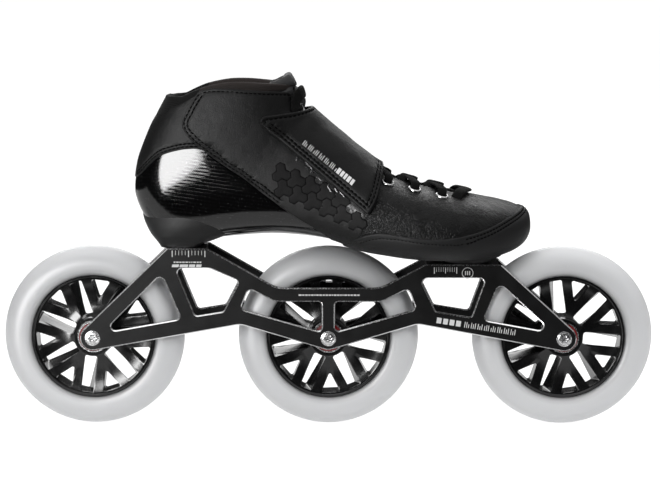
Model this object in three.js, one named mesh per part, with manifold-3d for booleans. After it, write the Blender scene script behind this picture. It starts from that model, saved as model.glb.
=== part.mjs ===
// Three-wheel inline speed skate, right foot: low leather boot on a carbon shell,
// bolted to a machined aluminium frame that carries three 125 mm wheels.
// Millimetres, +X towards the toe, +Y towards the inner (medial) side, +Z up.
// The origin lies on the ground under the middle axle, in the middle plane of the frame.
import * as THREE from 'three';
import { mergeVertices } from 'three/addons/utils/BufferGeometryUtils.js';
import Module from 'manifold-3d';

const wasm = await Module();
wasm.setup();

// ---------------------------------------------------------------- driving dimensions
const WHEEL_RADIUS = 62.5;
const WHEELBASE = 325;
const AXLE_Z = WHEEL_RADIUS;
const WHEELS = { rear: -WHEELBASE / 2, middle: 0, front: WHEELBASE / 2 };

const TYRE_HALF_WIDTH = 12;
const HUB_RADIUS = 42.5; // where the tyre is cast onto the hub
const HUB_HALF_WIDTH = 10.4;
const HUB_RIM_INSIDE = 39.6;
const SPOKE_HALF_WIDTH = 6.6;
const BOSS_RADIUS = 13.6;
const SPOKE_PAIRS = 7;
const SLOT_WIDTH = 7.6;
const SPOKE_WIDTH = 5.6;

const BEARING = { bore: 4, outside: 11, width: 7, pitch: 7.5, ball: 1.6, balls: 7 };
const SPACER_LENGTH = 10.25;
const AXLE_RADIUS = 3.95;
const AXLE_HEAD_RADIUS = 4.6;
const BEARING_SIDES = 12;
const GAP = 0.3; // between faces of two pieces that touch

const FRAME_HALF_WIDTH = 16.75;
const WALL = 3.5;
const FRAME_END_RADIUS = 8.6;
const REAR_DECK_Z = 125;
const FRONT_DECK_Z = 114.2;
const DECK_THICKNESS = 5.6;
const MOUNT_SPACING = 195; // between the two boot bolts, a standard of speed skates
const MOUNT_X = MOUNT_SPACING / 2;
const SLOT_TRAVEL = 15;
const BOLT_RADIUS = 3;

const LEATHER = 1.4;
const CARBON_TOP = 1.7; // depth of the carbon's outer face below the leather's
const CARBON_BOTTOM = 3.2;
const LINING_TOP = 3.5;
const LINING_BOTTOM = 6.2;
const INSOLE_TOP_GAP = 6.5;
const THROAT_HALF_WIDTH = 12;
const TONGUE_HALF_WIDTH = 19;
const STRAP_THICKNESS = 2;

// ---------------------------------------------------------------- materials
const material = (color, roughness, metalness) =>
  new THREE.MeshStandardMaterial({ color, roughness, metalness });
const LOOK = {
  urethane: material(0xd6d7d9, 0.45, 0),
  core: material(0x0c0c0d, 0.3, 0),
  anodised: material(0x0d0d0e, 0.45, 0.6),
  steel: material(0xb8babd, 0.3, 1),
  aluminium: material(0xa9abae, 0.35, 1),
  seal: material(0x9c2a2e, 0.5, 0),
  leather: material(0x161617, 0.5, 0),
  carbon: material(0x0a0a0b, 0.12, 0),
  rand: material(0x1c1c1e, 0.6, 0),
  lining: material(0x1f1a19, 0.9, 0),
  lace: material(0x0b0b0b, 0.85, 0),
};

// ---------------------------------------------------------------- solids from three.js geometry
function solid(geometry) {
  const flat = geometry.index ? geometry.toNonIndexed() : geometry.clone();
  const bare = new THREE.BufferGeometry();
  bare.setAttribute('position', flat.getAttribute('position'));
  const merged = mergeVertices(bare, 1e-4);
  return new wasm.Manifold(new wasm.Mesh({
    numProp: 3,
    vertProperties: merged.attributes.position.array,
    triVerts: new Uint32Array(merged.index.array),
  }));
}

const skate = new THREE.Group();

function part(name, shape, look, parent = skate) {
  const mesh = shape.getMesh();
  const geometry = new THREE.BufferGeometry();
  const stride = mesh.numProp;
  const points = new Float32Array(mesh.numVert * 3);
  for (let i = 0; i < mesh.numVert; i++) {
    points.set(mesh.vertProperties.subarray(i * stride, i * stride + 3), i * 3);
  }
  geometry.setAttribute('position', new THREE.BufferAttribute(points, 3));
  geometry.setIndex(new THREE.BufferAttribute(new Uint32Array(mesh.triVerts), 1));
  geometry.computeVertexNormals();
  const made = new THREE.Mesh(geometry, look);
  made.name = name;
  parent.add(made);
  return made;
}

// A closed ring or disc turned about the Y axis from [radius, y] points, anticlockwise seen with +Y up.
function turned(profile, sides, startAngle = 0) {
  const points = profile.map(([r, y]) => new THREE.Vector2(r, y));
  return new THREE.LatheGeometry(points, sides, startAngle);
}

function ring(inner, outer, low, high, sides) {
  return turned([[inner, low], [outer, low], [outer, high], [inner, high], [inner, low]], sides);
}

// A rod along Y between y = low and y = high.
function rod(radius, low, high, sides) {
  return turned([[0, low], [radius, low], [radius, high], [0, high]], sides);
}

// The points of an outline through [x, z, radius] corners, each rounded to that radius.
function rounded(corners, steps = 2) {
  const points = [];
  const count = corners.length;
  corners.forEach(([x, z, radius = 0], i) => {
    const here = new THREE.Vector2(x, z);
    const before = new THREE.Vector2(...corners[(i + count - 1) % count].slice(0, 2));
    const after = new THREE.Vector2(...corners[(i + 1) % count].slice(0, 2));
    const back = before.sub(here).normalize();
    const ahead = after.sub(here).normalize();
    if (radius === 0) {
      points.push(here);
      return;
    }
    const half = Math.acos(THREE.MathUtils.clamp(back.dot(ahead), -1, 1)) / 2;
    const middle = back.clone().add(ahead).normalize().multiplyScalar(radius / Math.sin(half));
    const centre = here.clone().add(middle);
    const from = here.clone().addScaledVector(back, radius / Math.tan(half)).sub(centre).angle();
    const turn = (Math.PI - 2 * half) * (back.cross(ahead) > 0 ? -1 : 1);
    for (let k = 0; k <= steps; k++) {
      const angle = from + (turn * k) / steps;
      const edge = new THREE.Vector2(Math.cos(angle), Math.sin(angle));
      points.push(edge.multiplyScalar(radius).add(centre));
    }
  });
  return points;
}

function outline(corners, steps) {
  return new THREE.Shape(rounded(corners, steps));
}

// A side-view outline made solid between two Y values.
function slab(shape, low, high, curveSegments = 4) {
  const options = { depth: high - low, bevelEnabled: false, curveSegments };
  const geometry = new THREE.ExtrudeGeometry(shape, options);
  geometry.rotateX(Math.PI / 2);
  geometry.translate(0, high, 0);
  return solid(geometry);
}

function block(x0, x1, y0, y1, z0, z1) {
  const geometry = new THREE.BoxGeometry(x1 - x0, y1 - y0, z1 - z0);
  geometry.translate((x0 + x1) / 2, (y0 + y1) / 2, (z0 + z1) / 2);
  return solid(geometry);
}

// ---------------------------------------------------------------- wheels
function tyreSolid() {
  const shoulder = TYRE_HALF_WIDTH;
  const half = [
    [HUB_RADIUS + GAP, HUB_HALF_WIDTH - 0.4],
    [50, shoulder],
    [58.6, 8.4],
    [WHEEL_RADIUS, 1.8],
  ];
  const other = half.slice().reverse().map(([r, y]) => [r, -y]);
  const profile = [...half, ...other, half[0]].reverse();
  return solid(turned(profile, 28));
}

// Between two neighbouring pairs of spokes lies a slot with parallel sides, which runs from
// boss to rim; inside each pair, against the rim, lies a triangle.
function spokeWindows() {
  const windows = [];
  const step = (2 * Math.PI) / SPOKE_PAIRS;
  const place = (corners, turn) => {
    const c = Math.cos(turn);
    const s = Math.sin(turn);
    return outline(corners.map(([a, b]) => [a * c - b * s, a * s + b * c]));
  };
  const half = SLOT_WIDTH / 2;
  const end = HUB_RIM_INSIDE - 1;
  const slot = [[BOSS_RADIUS + 2, -half], [end, -half], [end, half], [BOSS_RADIUS + 2, half]];
  // The triangle's sides run parallel to the neighbouring slots, one spoke's width away.
  const lean = step / 2;
  const away = half + SPOKE_WIDTH;
  const apex = away / Math.sin(lean);
  const reach = end - 0.6;
  const along = (reach - apex) * Math.cos(lean);
  const wide = (reach - apex) * Math.tan(lean) * 0.94;
  const triangle = [[apex, 0], [apex + along, -wide], [apex + along, wide]];
  for (let i = 0; i < SPOKE_PAIRS; i++) {
    windows.push(place(slot, i * step));
    windows.push(place(triangle, (i + 0.5) * step));
  }
  return windows;
}

function hubSolid() {
  const edge = [];
  for (let i = 0; i < 24; i++) {
    const angle = (i * 2 * Math.PI) / 24;
    edge.push(new THREE.Vector2(Math.cos(angle), Math.sin(angle)).multiplyScalar(HUB_RIM_INSIDE + 0.8));
  }
  const disc = new THREE.Shape(edge);
  disc.holes = spokeWindows();
  const web = slab(disc, -SPOKE_HALF_WIDTH, SPOKE_HALF_WIDTH, 2);
  const rim = solid(ring(HUB_RIM_INSIDE, HUB_RADIUS, -HUB_HALF_WIDTH, HUB_HALF_WIDTH, 24));
  const seat = SPACER_LENGTH / 2;
  const face = seat + BEARING.width;
  const boss = solid(rod(BOSS_RADIUS, -face + 0.4, face - 0.4, 14));
  const bearingBore = BEARING.outside + 0.05;
  const bore = solid(rod(9.4, -30, 30, BEARING_SIDES))
    .add(solid(rod(bearingBore, seat - GAP, 30, BEARING_SIDES)))
    .add(solid(rod(bearingBore, -30, -seat + GAP, BEARING_SIDES)));
  return web.add(rim).add(boss).subtract(bore);
}

// Each bearing is drawn for the +Y side of the wheel and turned over for the other.
function bearingSolids() {
  const low = SPACER_LENGTH / 2 + GAP / 2;
  const high = SPACER_LENGTH / 2 + BEARING.width - 0.05;
  const middle = (low + high) / 2;
  const track = BEARING.ball + 0.3;
  const outer = [
    [8.9, low], [BEARING.outside, low], [BEARING.outside, high], [6.8, high], [6.8, high - 0.5],
    [8.9, high - 0.5], [8.9, middle + track], [9.7, middle + track], [9.7, middle - track],
    [8.9, middle - track], [8.9, low],
  ];
  const inner = [
    [BEARING.bore, low], [6.1, low], [6.1, middle - track], [5.5, middle - track],
    [5.5, middle + track], [6.1, middle + track], [6.1, high], [BEARING.bore, high],
    [BEARING.bore, low],
  ];
  let cage = solid(ring(BEARING.pitch - 0.7, BEARING.pitch + 0.4, middle - 2, middle - 0.9, BEARING.balls));
  for (let i = 0; i < BEARING.balls; i++) {
    const angle = (i * 2 * Math.PI) / BEARING.balls;
    const ball = new THREE.OctahedronGeometry(BEARING.ball);
    ball.translate(BEARING.pitch * Math.cos(angle), middle, BEARING.pitch * Math.sin(angle));
    cage = cage.add(solid(ball));
  }
  return {
    bearing_outer_ring: [solid(turned(outer, BEARING_SIDES)), LOOK.steel],
    bearing_inner_ring: [solid(turned(inner, BEARING_SIDES)), LOOK.steel],
    ball_cage: [cage, LOOK.steel],
  };
}

function axleSolid() {
  const face = FRAME_HALF_WIDTH;
  const head = [[0, -face], [AXLE_HEAD_RADIUS, -face], [AXLE_HEAD_RADIUS, -face + 2.2]];
  const shaft = [[AXLE_RADIUS, -face + 2.2], [AXLE_RADIUS, face - 0.2], [0, face - 0.2]];
  const key = solid(rod(2.4, -face - 1, -face + 1.8, 6));
  return solid(turned([...head, ...shaft], BEARING_SIDES)).subtract(key);
}

function addWheels() {
  const tyre = tyreSolid();
  const hub = hubSolid();
  const bearing = bearingSolids();
  const spacerEnd = SPACER_LENGTH / 2;
  const spacer = solid(ring(BEARING.bore + 0.1, 5.4, -spacerEnd + GAP / 2, spacerEnd - GAP / 2, BEARING_SIDES));
  for (const [name, x] of Object.entries(WHEELS)) {
    const group = new THREE.Group();
    group.position.set(x, 0, AXLE_Z);
    skate.add(group);
    part(`${name}_tyre`, tyre, LOOK.urethane, group);
    part(`${name}_hub`, hub, LOOK.core, group);
    part(`${name}_axle`, axleSolid(), LOOK.steel, group);
    part(`${name}_bearing_spacer`, spacer, LOOK.aluminium, group);
    for (const [side, turn] of [['inner', 0], ['outer', Math.PI]]) {
      const bearingGroup = new THREE.Group();
      bearingGroup.rotation.x = turn;
      group.add(bearingGroup);
      for (const [piece, [shape, look]] of Object.entries(bearing)) {
        part(`${name}_${side}_side_${piece}`, shape, look, bearingGroup);
      }
    }
  }
}

// ---------------------------------------------------------------- frame
// Points round one axle, from one angle to another, in degrees.
function endArc(x, from, to) {
  const points = [];
  for (let k = 0; k <= 5; k++) {
    const angle = THREE.MathUtils.degToRad(from + ((to - from) * k) / 5);
    points.push([x + FRAME_END_RADIUS * Math.cos(angle), AXLE_Z + FRAME_END_RADIUS * Math.sin(angle)]);
  }
  return points;
}

// Side view, [x, z, corner radius], clockwise from the rear end.
function frameOutline() {
  return outline([
    ...endArc(WHEELS.rear, -79.7, -225.8), [-110.6, REAR_DECK_Z, 1], [-83.1, REAR_DECK_Z, 1],
    [-35.6, 97.8, 18], [35.6, 97.8, 18], [66.5, FRONT_DECK_Z, 2], [118.5, FRONT_DECK_Z, 2],
    ...endArc(WHEELS.front, 47.7, -100.6), [61.5, 72.6, 12], [0, 54.2, FRAME_END_RADIUS],
    [-60.5, 72.2, 12],
  ]);
}

const FRAME_WINDOWS = {
  rear_triangle: [[-150.5, 71.2, 3], [-114.6, 107.2, 4], [-101.2, 76, 3]],
  rear_middle: [[-105, 111.2, 3.6], [-81.4, 111.2, 9], [-61.2, 102.2, 3], [-72.2, 81.2, 3], [-91.6, 78, 3]],
  middle_rear: [[-60.4, 82.9, 3.4], [-54.9, 97.4, 3.6], [-36.6, 88.2, 14], [-4.5, 88.2, 3], [-4.5, 67, 3]],
  middle_front: [[4.5, 67, 3], [4.5, 88.2, 3], [36.6, 88.2, 14], [54.9, 97.4, 3.6], [60.4, 82.9, 3.4]],
  front_middle: [[62.6, 104.6, 4], [108, 104.6, 3.4], [98.4, 77.4, 2.6], [74, 81.4, 2.6]],
  front_triangle: [[106.9, 75.6, 3], [117.2, 101.4, 4], [151, 67.6, 3]],
};

function frameSolid() {
  const plate = frameOutline();

  const inside = FRAME_HALF_WIDTH - WALL;
  let sides = slab(plate, -FRAME_HALF_WIDTH, FRAME_HALF_WIDTH).subtract(block(-200, 200, -inside, inside, 0, 200));
  for (const corners of Object.values(FRAME_WINDOWS)) sides = sides.subtract(slab(outline(corners, 1), -20, 20));
  const half = inside + 0.5;
  const rearDeck = block(-110.4, -83.8, -half, half, REAR_DECK_Z - DECK_THICKNESS, REAR_DECK_Z);
  const frontDeck = block(67.4, 117.6, -half, half, FRONT_DECK_Z - DECK_THICKNESS, FRONT_DECK_Z);
  let frame = sides.add(rearDeck).add(frontDeck);
  const bossFace = SPACER_LENGTH / 2 + BEARING.width + GAP;
  for (const x of Object.values(WHEELS)) {
    for (const side of [-1, 1]) {
      const [low, high] = [bossFace * side, (inside + 0.5) * side].sort((a, b) => a - b);
      const boss = rod(6, low, high, BEARING_SIDES);
      frame = frame.add(solid(boss.translate(x, 0, AXLE_Z)));
    }
    const bore = rod(AXLE_RADIUS + 0.3, -30, 30, BEARING_SIDES);
    const seat = rod(AXLE_HEAD_RADIUS + 0.3, -30, -FRAME_HALF_WIDTH + 2.5, BEARING_SIDES);
    frame = frame.subtract(solid(bore.translate(x, 0, AXLE_Z)));
    frame = frame.subtract(solid(seat.translate(x, 0, AXLE_Z)));
  }
  for (const x of [-MOUNT_X, MOUNT_X]) frame = frame.subtract(mountSlot(x));
  return frame;
}

function mountSlot(x) {
  const radius = BOLT_RADIUS + 0.4;
  const slot = new THREE.Shape();
  slot.absarc(x + SLOT_TRAVEL / 2, 0, radius, -Math.PI / 2, Math.PI / 2, false);
  slot.absarc(x - SLOT_TRAVEL / 2, 0, radius, Math.PI / 2, (3 * Math.PI) / 2, false);
  const cut = new THREE.ExtrudeGeometry(slot, { depth: 60, bevelEnabled: false, curveSegments: 6 });
  cut.translate(0, 0, 90);
  return solid(cut);
}

// ---------------------------------------------------------------- boot surface
// Each station is one rib of the boot, from the instep ridge down to the sole or the heel line:
// ridge [x, z], keel [x, z], half width, centre line y, height of the widest point (share of the rib),
// fullness of the lower and upper arcs, and how far the rib bows out of its plane.
const STATIONS = [
  { ridge: [139.2, 142], keel: [139.2, 140], half: 0.5, y: 9, wide: 0.45, low: 2.4, high: 2, bow: 0 },
  { ridge: [138, 147.6], keel: [138.2, 133.6], half: 15, y: 9, wide: 0.45, low: 2.4, high: 2, bow: 0 },
  { ridge: [134, 151.4], keel: [133.8, 127.4], half: 25.5, y: 8.5, wide: 0.44, low: 2.5, high: 2, bow: 0 },
  { ridge: [126, 154.8], keel: [125.4, 122.6], half: 34, y: 7.4, wide: 0.42, low: 2.6, high: 2.05, bow: 0 },
  { ridge: [114, 158], keel: [113, 119.4], half: 41, y: 5.4, wide: 0.4, low: 2.8, high: 2.1, bow: 0 },
  { ridge: [98, 161.2], keel: [96, 118], half: 45.3, y: 2.6, wide: 0.38, low: 3, high: 2.1, bow: 0 },
  { ridge: [80, 165], keel: [78, 117.8], half: 47.4, y: 0.6, wide: 0.37, low: 3, high: 2.1, bow: 0 },
  { ridge: [62, 169], keel: [60, 118.6], half: 47, y: -0.9, wide: 0.37, low: 3, high: 2.1, bow: 0 },
  { ridge: [46, 173.5], keel: [42, 120.6], half: 44.6, y: -1.6, wide: 0.38, low: 2.9, high: 2.1, bow: 0 },
  { ridge: [32, 179.3], keel: [24, 123.4], half: 41.2, y: -1.6, wide: 0.4, low: 2.7, high: 2.1, bow: 0 },
  { ridge: [20, 188.5], keel: [6, 127.8], half: 38, y: -1, wide: 0.42, low: 2.5, high: 2.1, bow: 0 },
  { ridge: [8, 198.2], keel: [-14, 131], half: 35.6, y: -0.4, wide: 0.44, low: 2.4, high: 2.1, bow: 0 },
  { ridge: [-3, 207], keel: [-38, 132.4], half: 34.4, y: 0, wide: 0.45, low: 2.4, high: 2.15, bow: 0 },
  { ridge: [-10, 213], keel: [-62, 131], half: 33.8, y: 0, wide: 0.46, low: 2.4, high: 2.2, bow: 0 },
  { ridge: [-13.5, 216.5], keel: [-84, 128.6], half: 33.6, y: 0, wide: 0.47, low: 2.4, high: 2.2, bow: 0 },
  { ridge: [-15.5, 219], keel: [-102, 128], half: 33.4, y: 0, wide: 0.48, low: 2.4, high: 2.25, bow: 0 },
  { ridge: [-17, 221.3], keel: [-115.6, 132.6], half: 33.2, y: 0, wide: 0.49, low: 2.4, high: 2.3, bow: 0 },
  { ridge: [-18.2, 223.6], keel: [-124.8, 142.6], half: 33, y: 0, wide: 0.5, low: 2.4, high: 2.3, bow: 0 },
  { ridge: [-19.2, 225.8], keel: [-131, 154], half: 32.6, y: 0, wide: 0.5, low: 2.4, high: 2.3, bow: 0 },
  { ridge: [-20, 228], keel: [-134.2, 165.4], half: 32.2, y: 0, wide: 0.5, low: 2.4, high: 2.3, bow: 0.4 },
  { ridge: [-20.7, 230.2], keel: [-134, 177], half: 31.8, y: 0, wide: 0.5, low: 2.4, high: 2.3, bow: 1.2 },
  { ridge: [-21.3, 232.2], keel: [-131, 188.5], half: 31.2, y: 0, wide: 0.5, low: 2.4, high: 2.3, bow: 2.6 },
  { ridge: [-21.8, 234], keel: [-126.6, 200.4], half: 30.2, y: 0, wide: 0.5, low: 2.4, high: 2.3, bow: 4.4 },
  { ridge: [-22.2, 235.6], keel: [-120.8, 212.6], half: 29, y: 0, wide: 0.5, low: 2.4, high: 2.3, bow: 6.2 },
  { ridge: [-22.5, 237], keel: [-112.8, 225], half: 27.6, y: 0, wide: 0.5, low: 2.4, high: 2.3, bow: 8 },
  { ridge: [-27.3, 245.4], keel: [-106, 237], half: 27, y: 0, wide: 0.5, low: 2.4, high: 2.3, bow: 9 },
];
const COLLAR = 24; // the last station of the boot itself; the one after it carries the tongue's tip

// Catmull-Rom value between stations.
function along(read, s) {
  const last = STATIONS.length - 1;
  const i = Math.min(Math.floor(s), last - 1);
  const t = s - i;
  const at = (k) => read(STATIONS[THREE.MathUtils.clamp(k, 0, last)]);
  const [a, b, c, d] = [at(i - 1), at(i), at(i + 1), at(i + 2)];
  return 0.5 * (2 * b + (c - a) * t + (2 * a - 5 * b + 4 * c - d) * t * t + (3 * b - a - 3 * c + d) * t ** 3);
}

// The leather's outer face. s runs from 0 at the toe to COLLAR at the collar; v runs once round,
// from 0 at the ridge down the outer side to 0.5 at the keel and up the inner side.
function bootPoint(s, v) {
  const value = (name) => along((st) => st[name], s);
  const ridge = [along((st) => st.ridge[0], s), along((st) => st.ridge[1], s)];
  const keel = [along((st) => st.keel[0], s), along((st) => st.keel[1], s)];
  const turn = ((v % 1) + 1) % 1;
  const outerSide = turn <= 0.5;
  const t = outerSide ? turn * 2 : (1 - turn) * 2;
  const upper = t <= 0.5;
  const power = 2 / value(upper ? 'high' : 'low');
  const angle = Math.PI * (upper ? t : 1 - t);
  const across = Math.max(Math.sin(angle), 0) ** power;
  const up = Math.max(Math.cos(angle), 0) ** power;
  const wide = value('wide');
  const h = upper ? wide + (1 - wide) * up : wide * (1 - up);
  const dx = ridge[0] - keel[0];
  const dz = ridge[1] - keel[1];
  const length = Math.hypot(dx, dz) || 1;
  const bow = (value('bow') * 4 * h * (1 - h)) / length;
  const y = value('y') + value('half') * across * (outerSide ? -1 : 1);
  return new THREE.Vector3(keel[0] + dx * h - dz * bow, y, keel[1] + dz * h + dx * bow);
}

function bootNormal(s, v) {
  const ds = 0.02;
  const dv = 0.004;
  const lowS = Math.max(s - ds, 0.05);
  const highS = Math.min(s + ds, STATIONS.length - 1.001);
  const alongS = bootPoint(highS, v).sub(bootPoint(lowS, v));
  const alongV = bootPoint(s, v + dv).sub(bootPoint(s, v - dv));
  return alongV.cross(alongS).normalize().negate();
}

function bootAt(s, v, lift) {
  const depth = typeof lift === 'function' ? lift(s, v) : lift;
  return bootPoint(s, v).addScaledVector(bootNormal(s, v), depth);
}

const RIBS = [0.7, 1.8, 3.4, 5.4, 7.4, 9.4, 11.4, 13.4, 15.4, 17.4, 19.6, 21.8, 24];
const AROUND = 14;

// A closed solid of the boot's form, its face moved out by lift, up to the collar or up to the tongue's tip.
function bootSolid(lift, toTip = false) {
  const ribs = toTip ? [...RIBS, 25] : RIBS;
  const points = [];
  for (const s of ribs) {
    for (let j = 0; j < AROUND; j++) points.push(bootAt(s, (j + 0.5) / AROUND, lift));
  }
  const tipLift = typeof lift === 'function' ? 0 : lift;
  const toe = points.push(new THREE.Vector3(139.2 + tipLift, 9, 141)) - 1;
  const top = new THREE.Vector3();
  for (let j = 0; j < AROUND; j++) top.addScaledVector(points[toe - 1 - j], 1 / AROUND);
  const lid = points.push(top) - 1;
  const index = [];
  for (let j = 0; j < AROUND; j++) {
    const k = (j + 1) % AROUND;
    index.push(toe, j, k);
    const last = (ribs.length - 1) * AROUND;
    index.push(lid, last + k, last + j);
    for (let i = 0; i < ribs.length - 1; i++) {
      const a = i * AROUND;
      const b = a + AROUND;
      index.push(a + j, b + j, a + k, a + k, b + j, b + k);
    }
  }
  const geometry = new THREE.BufferGeometry().setFromPoints(points);
  geometry.setIndex(index);
  return solid(geometry);
}

// ---------------------------------------------------------------- boot panels
// Side-view lines along which the leather is cut, [x, z].
const CUTS = {
  heel_edge: [[-150, 172], [-131, 178], [-118, 191.5], [-108, 195], [-95, 196.5], [-88, 195]],
  quarter_back: [[-88, 250], [-88.6, 234], [-98.5, 216], [-99, 210.5], [-88, 195]],
  quarter_foot: [[-88, 195], [-38, 159], [-24, 149], [12, 119], [12, 100]],
  quarter_front: [[38, 192], [33, 152], [31, 137]],
  rand_top: [[2, 118], [18, 134], [34, 139], [50, 137], [74, 134.5], [90, 135], [108, 142], [150, 158]],
};

function blade(line) {
  const thin = 0.2;
  return line.slice(1).reduce((all, [x1, z1], i) => {
    const [x0, z0] = line[i];
    const length = Math.hypot(x1 - x0, z1 - z0) + 2 * thin;
    const cut = new THREE.BoxGeometry(length, 140, 2 * thin);
    cut.rotateY(-Math.atan2(z1 - z0, x1 - x0));
    cut.translate((x0 + x1) / 2, 0, (z0 + z1) / 2);
    return all ? all.add(solid(cut)) : solid(cut);
  }, null);
}

// The slot over the instep where the tongue shows, seen from above.
function throat(halfWidth, front, back) {
  const shape = new THREE.Shape();
  shape.moveTo(back, -halfWidth);
  shape.lineTo(front - halfWidth, -halfWidth);
  shape.absarc(front - halfWidth, 0, halfWidth, -Math.PI / 2, Math.PI / 2, false);
  shape.lineTo(back, halfWidth);
  shape.closePath();
  const geometry = new THREE.ExtrudeGeometry(shape, { depth: 130, bevelEnabled: false, curveSegments: 5 });
  geometry.translate(0, 0, 145);
  return solid(geometry);
}

// The piece of a cut-up layer that holds the boot point (s, v) at that depth.
function pieceAt(pieces, s, v, depth) {
  const p = bootAt(s, v, -depth);
  const probe = block(p.x - 1.5, p.x + 1.5, p.y - 1.5, p.y + 1.5, p.z - 1.5, p.z + 1.5);
  return pieces.reduce((best, piece) => {
    const shared = piece.intersect(probe).volume();
    return shared > best.shared ? { piece, shared } : best;
  }, { piece: null, shared: 0 }).piece;
}

// Eyelets of one side in side view, from the toe up: [x, z, name].
const EYELETS = [
  [79.4, 163, 'first'], [61, 167.4, 'second'], [42.6, 172, 'third'], [15, 188, 'fourth'], [-19.5, 221.5, 'top'],
];
const LACE_RADIUS = 1.1;

// The point on one side of the boot that is seen at (x, z) from that side, as { s, v }.
function onSide(x, z, side) {
  let best = { far: Infinity };
  const search = (s0, s1, v0, v1, steps) => {
    for (let i = 0; i <= steps; i++) {
      for (let j = 0; j <= steps; j++) {
        const s = s0 + ((s1 - s0) * i) / steps;
        const v = v0 + ((v1 - v0) * j) / steps;
        const p = bootPoint(s, side < 0 ? v : 1 - v);
        const far = Math.hypot(p.x - x, p.z - z);
        if (far < best.far) best = { far, s, v };
      }
    }
  };
  search(0.2, COLLAR, 0.01, 0.49, 60);
  for (let span = 0.5; span > 0.004; span /= 3) {
    search(Math.max(best.s - span, 0.2), Math.min(best.s + span, COLLAR), Math.max(best.v - span * 0.03, 0.005),
      Math.min(best.v + span * 0.03, 0.495), 8);
  }
  return { s: best.s, v: side < 0 ? best.v : 1 - best.v };
}

// A shape drawn round +Z, set on the boot's surface with +Z along its normal.
function setOnBoot(geometry, s, v) {
  const matrix = new THREE.Matrix4();
  const turn = new THREE.Quaternion().setFromUnitVectors(new THREE.Vector3(0, 1, 0), bootNormal(s, v));
  matrix.compose(bootPoint(s, v), turn, new THREE.Vector3(1, 1, 1));
  return geometry.clone().applyMatrix4(matrix);
}

function eyeletGeometry() {
  return turned([[2.3, -0.9], [2.8, -0.9], [2.8, GAP], [4.1, GAP], [4.1, 0.7], [2.3, 0.7], [2.3, -0.9]], 7);
}

function eyeletSpots() {
  const spots = [];
  for (const [x, z, name] of EYELETS) {
    spots.push({ name: `eyelet_outer_${name}`, side: -1, ...onSide(x, z, -1) });
    spots.push({ name: `eyelet_inner_${name}`, side: 1, ...onSide(x, z, 1) });
  }
  return spots;
}

function addUpper(spots) {
  const leather = bootSolid(0).subtract(bootSolid(-LEATHER, true));
  let cut = leather.subtract(throat(THROAT_HALF_WIDTH, 99, -60));
  for (const line of Object.values(CUTS)) cut = cut.subtract(blade(line));
  cut = cut.subtract(block(-125, 116, -22, 22, 100, 150)); // the sole is left bare
  for (const spot of spots) {
    const hole = turned([[0, -4], [3.3, -4], [3.3, 0], [4.6, 0], [4.6, 4], [0, 4]], 7);
    cut = cut.subtract(solid(setOnBoot(hole, spot.s, spot.v)));
  }
  const pieces = cut.decompose();
  const pick = (s, v) => pieceAt(pieces, s, v, LEATHER / 2);
  const halves = block(-200, 200, -0.2, 0.2, 0, 400);
  const quarters = pick(15, 0.2).subtract(halves).decompose();
  part('quarter_outer_side', pieceAt(quarters, 15, 0.2, LEATHER / 2), LOOK.leather);
  const inner = pick(15, 0.8).subtract(halves).decompose();
  part('quarter_inner_side', pieceAt(inner, 15, 0.8, LEATHER / 2), LOOK.leather);
  part('heel_counter', pick(22.5, 0.45), LOOK.leather);
  part('vamp', pick(4, 0.12), LOOK.leather);
  part('toe_rand', pick(2.5, 0.3), LOOK.rand);
}

// The lining stops where the tongue begins.
function addLining() {
  const lining = bootSolid(-LINING_TOP).subtract(bootSolid(-LINING_BOTTOM, true));
  const slot = throat(TONGUE_HALF_WIDTH + 0.3, 97, -60);
  const pieces = lining.subtract(slot).decompose();
  part('lining', pieceAt(pieces, 14, 0.3, (LINING_TOP + LINING_BOTTOM) / 2), LOOK.lining);
  const tongue = bootSolid(-CARBON_TOP, true).subtract(bootSolid(-LINING_BOTTOM + 0.6, true));
  const strip = tongue.intersect(throat(TONGUE_HALF_WIDTH, 96.6, -45));
  const gap = block(-200, 200, -60, 60, 0, 400).subtract(bootSolid(-CARBON_TOP, true));
  part('tongue', pieceAt(strip.subtract(gap).decompose(), 12, 0, 3), LOOK.leather);
}

function prism(corners) {
  return slab(outline(corners), -70, 70);
}

function addShell() {
  const cup = bootSolid(-CARBON_TOP).subtract(bootSolid(-CARBON_BOTTOM, true));
  const below = prism([[-150, 100], [160, 100], [160, 131], [60, 131], [20, 137], [-30, 158],
    [-66, 184], [-100, 203], [-150, 203]]);
  const hollow = bootSolid(-CARBON_BOTTOM, true);
  // Blocks under heel and ball stand on the frame's decks.
  const heel = prism([[-115, REAR_DECK_Z + GAP], [-83.5, REAR_DECK_Z + GAP, 0], [-80, 134], [-80, 142],
    [-121, 142]]).intersect(block(-200, 0, -20, 20, 0, 400));
  const ball = prism([[84, FRONT_DECK_Z + GAP], [111, FRONT_DECK_Z + GAP], [114, 124], [81, 124]])
    .intersect(block(0, 200, -21, 21, 0, 400));
  const sockets = [-MOUNT_X, MOUNT_X].map((x) => {
    const socket = rod(4.7, 0, 200, 12);
    socket.rotateX(Math.PI / 2);
    return solid(socket.translate(x, 0, 0)).intersect(block(-200, 200, -9, 9, 100, x < 0 ? 133.2 : 122.6));
  });
  const shell = cup.intersect(below).add(heel.subtract(hollow)).add(ball.subtract(hollow));
  const open = sockets.reduce((all, socket) => all.subtract(socket), shell);
  part('carbon_shell', pieceAt(open.decompose(), 16, 0.35, 2.4), LOOK.carbon);
}

// The insole fills the bottom of the foot's space.
function addInsole() {
  const below = prism([[-150, 100], [160, 100], [160, 131.5], [60, 129.5], [20, 134.5], [-20, 142],
    [-60, 141.5], [-110, 139.5], [-150, 142]]);
  part('insole', bootSolid(-INSOLE_TOP_GAP).intersect(below), LOOK.lining);
}

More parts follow.
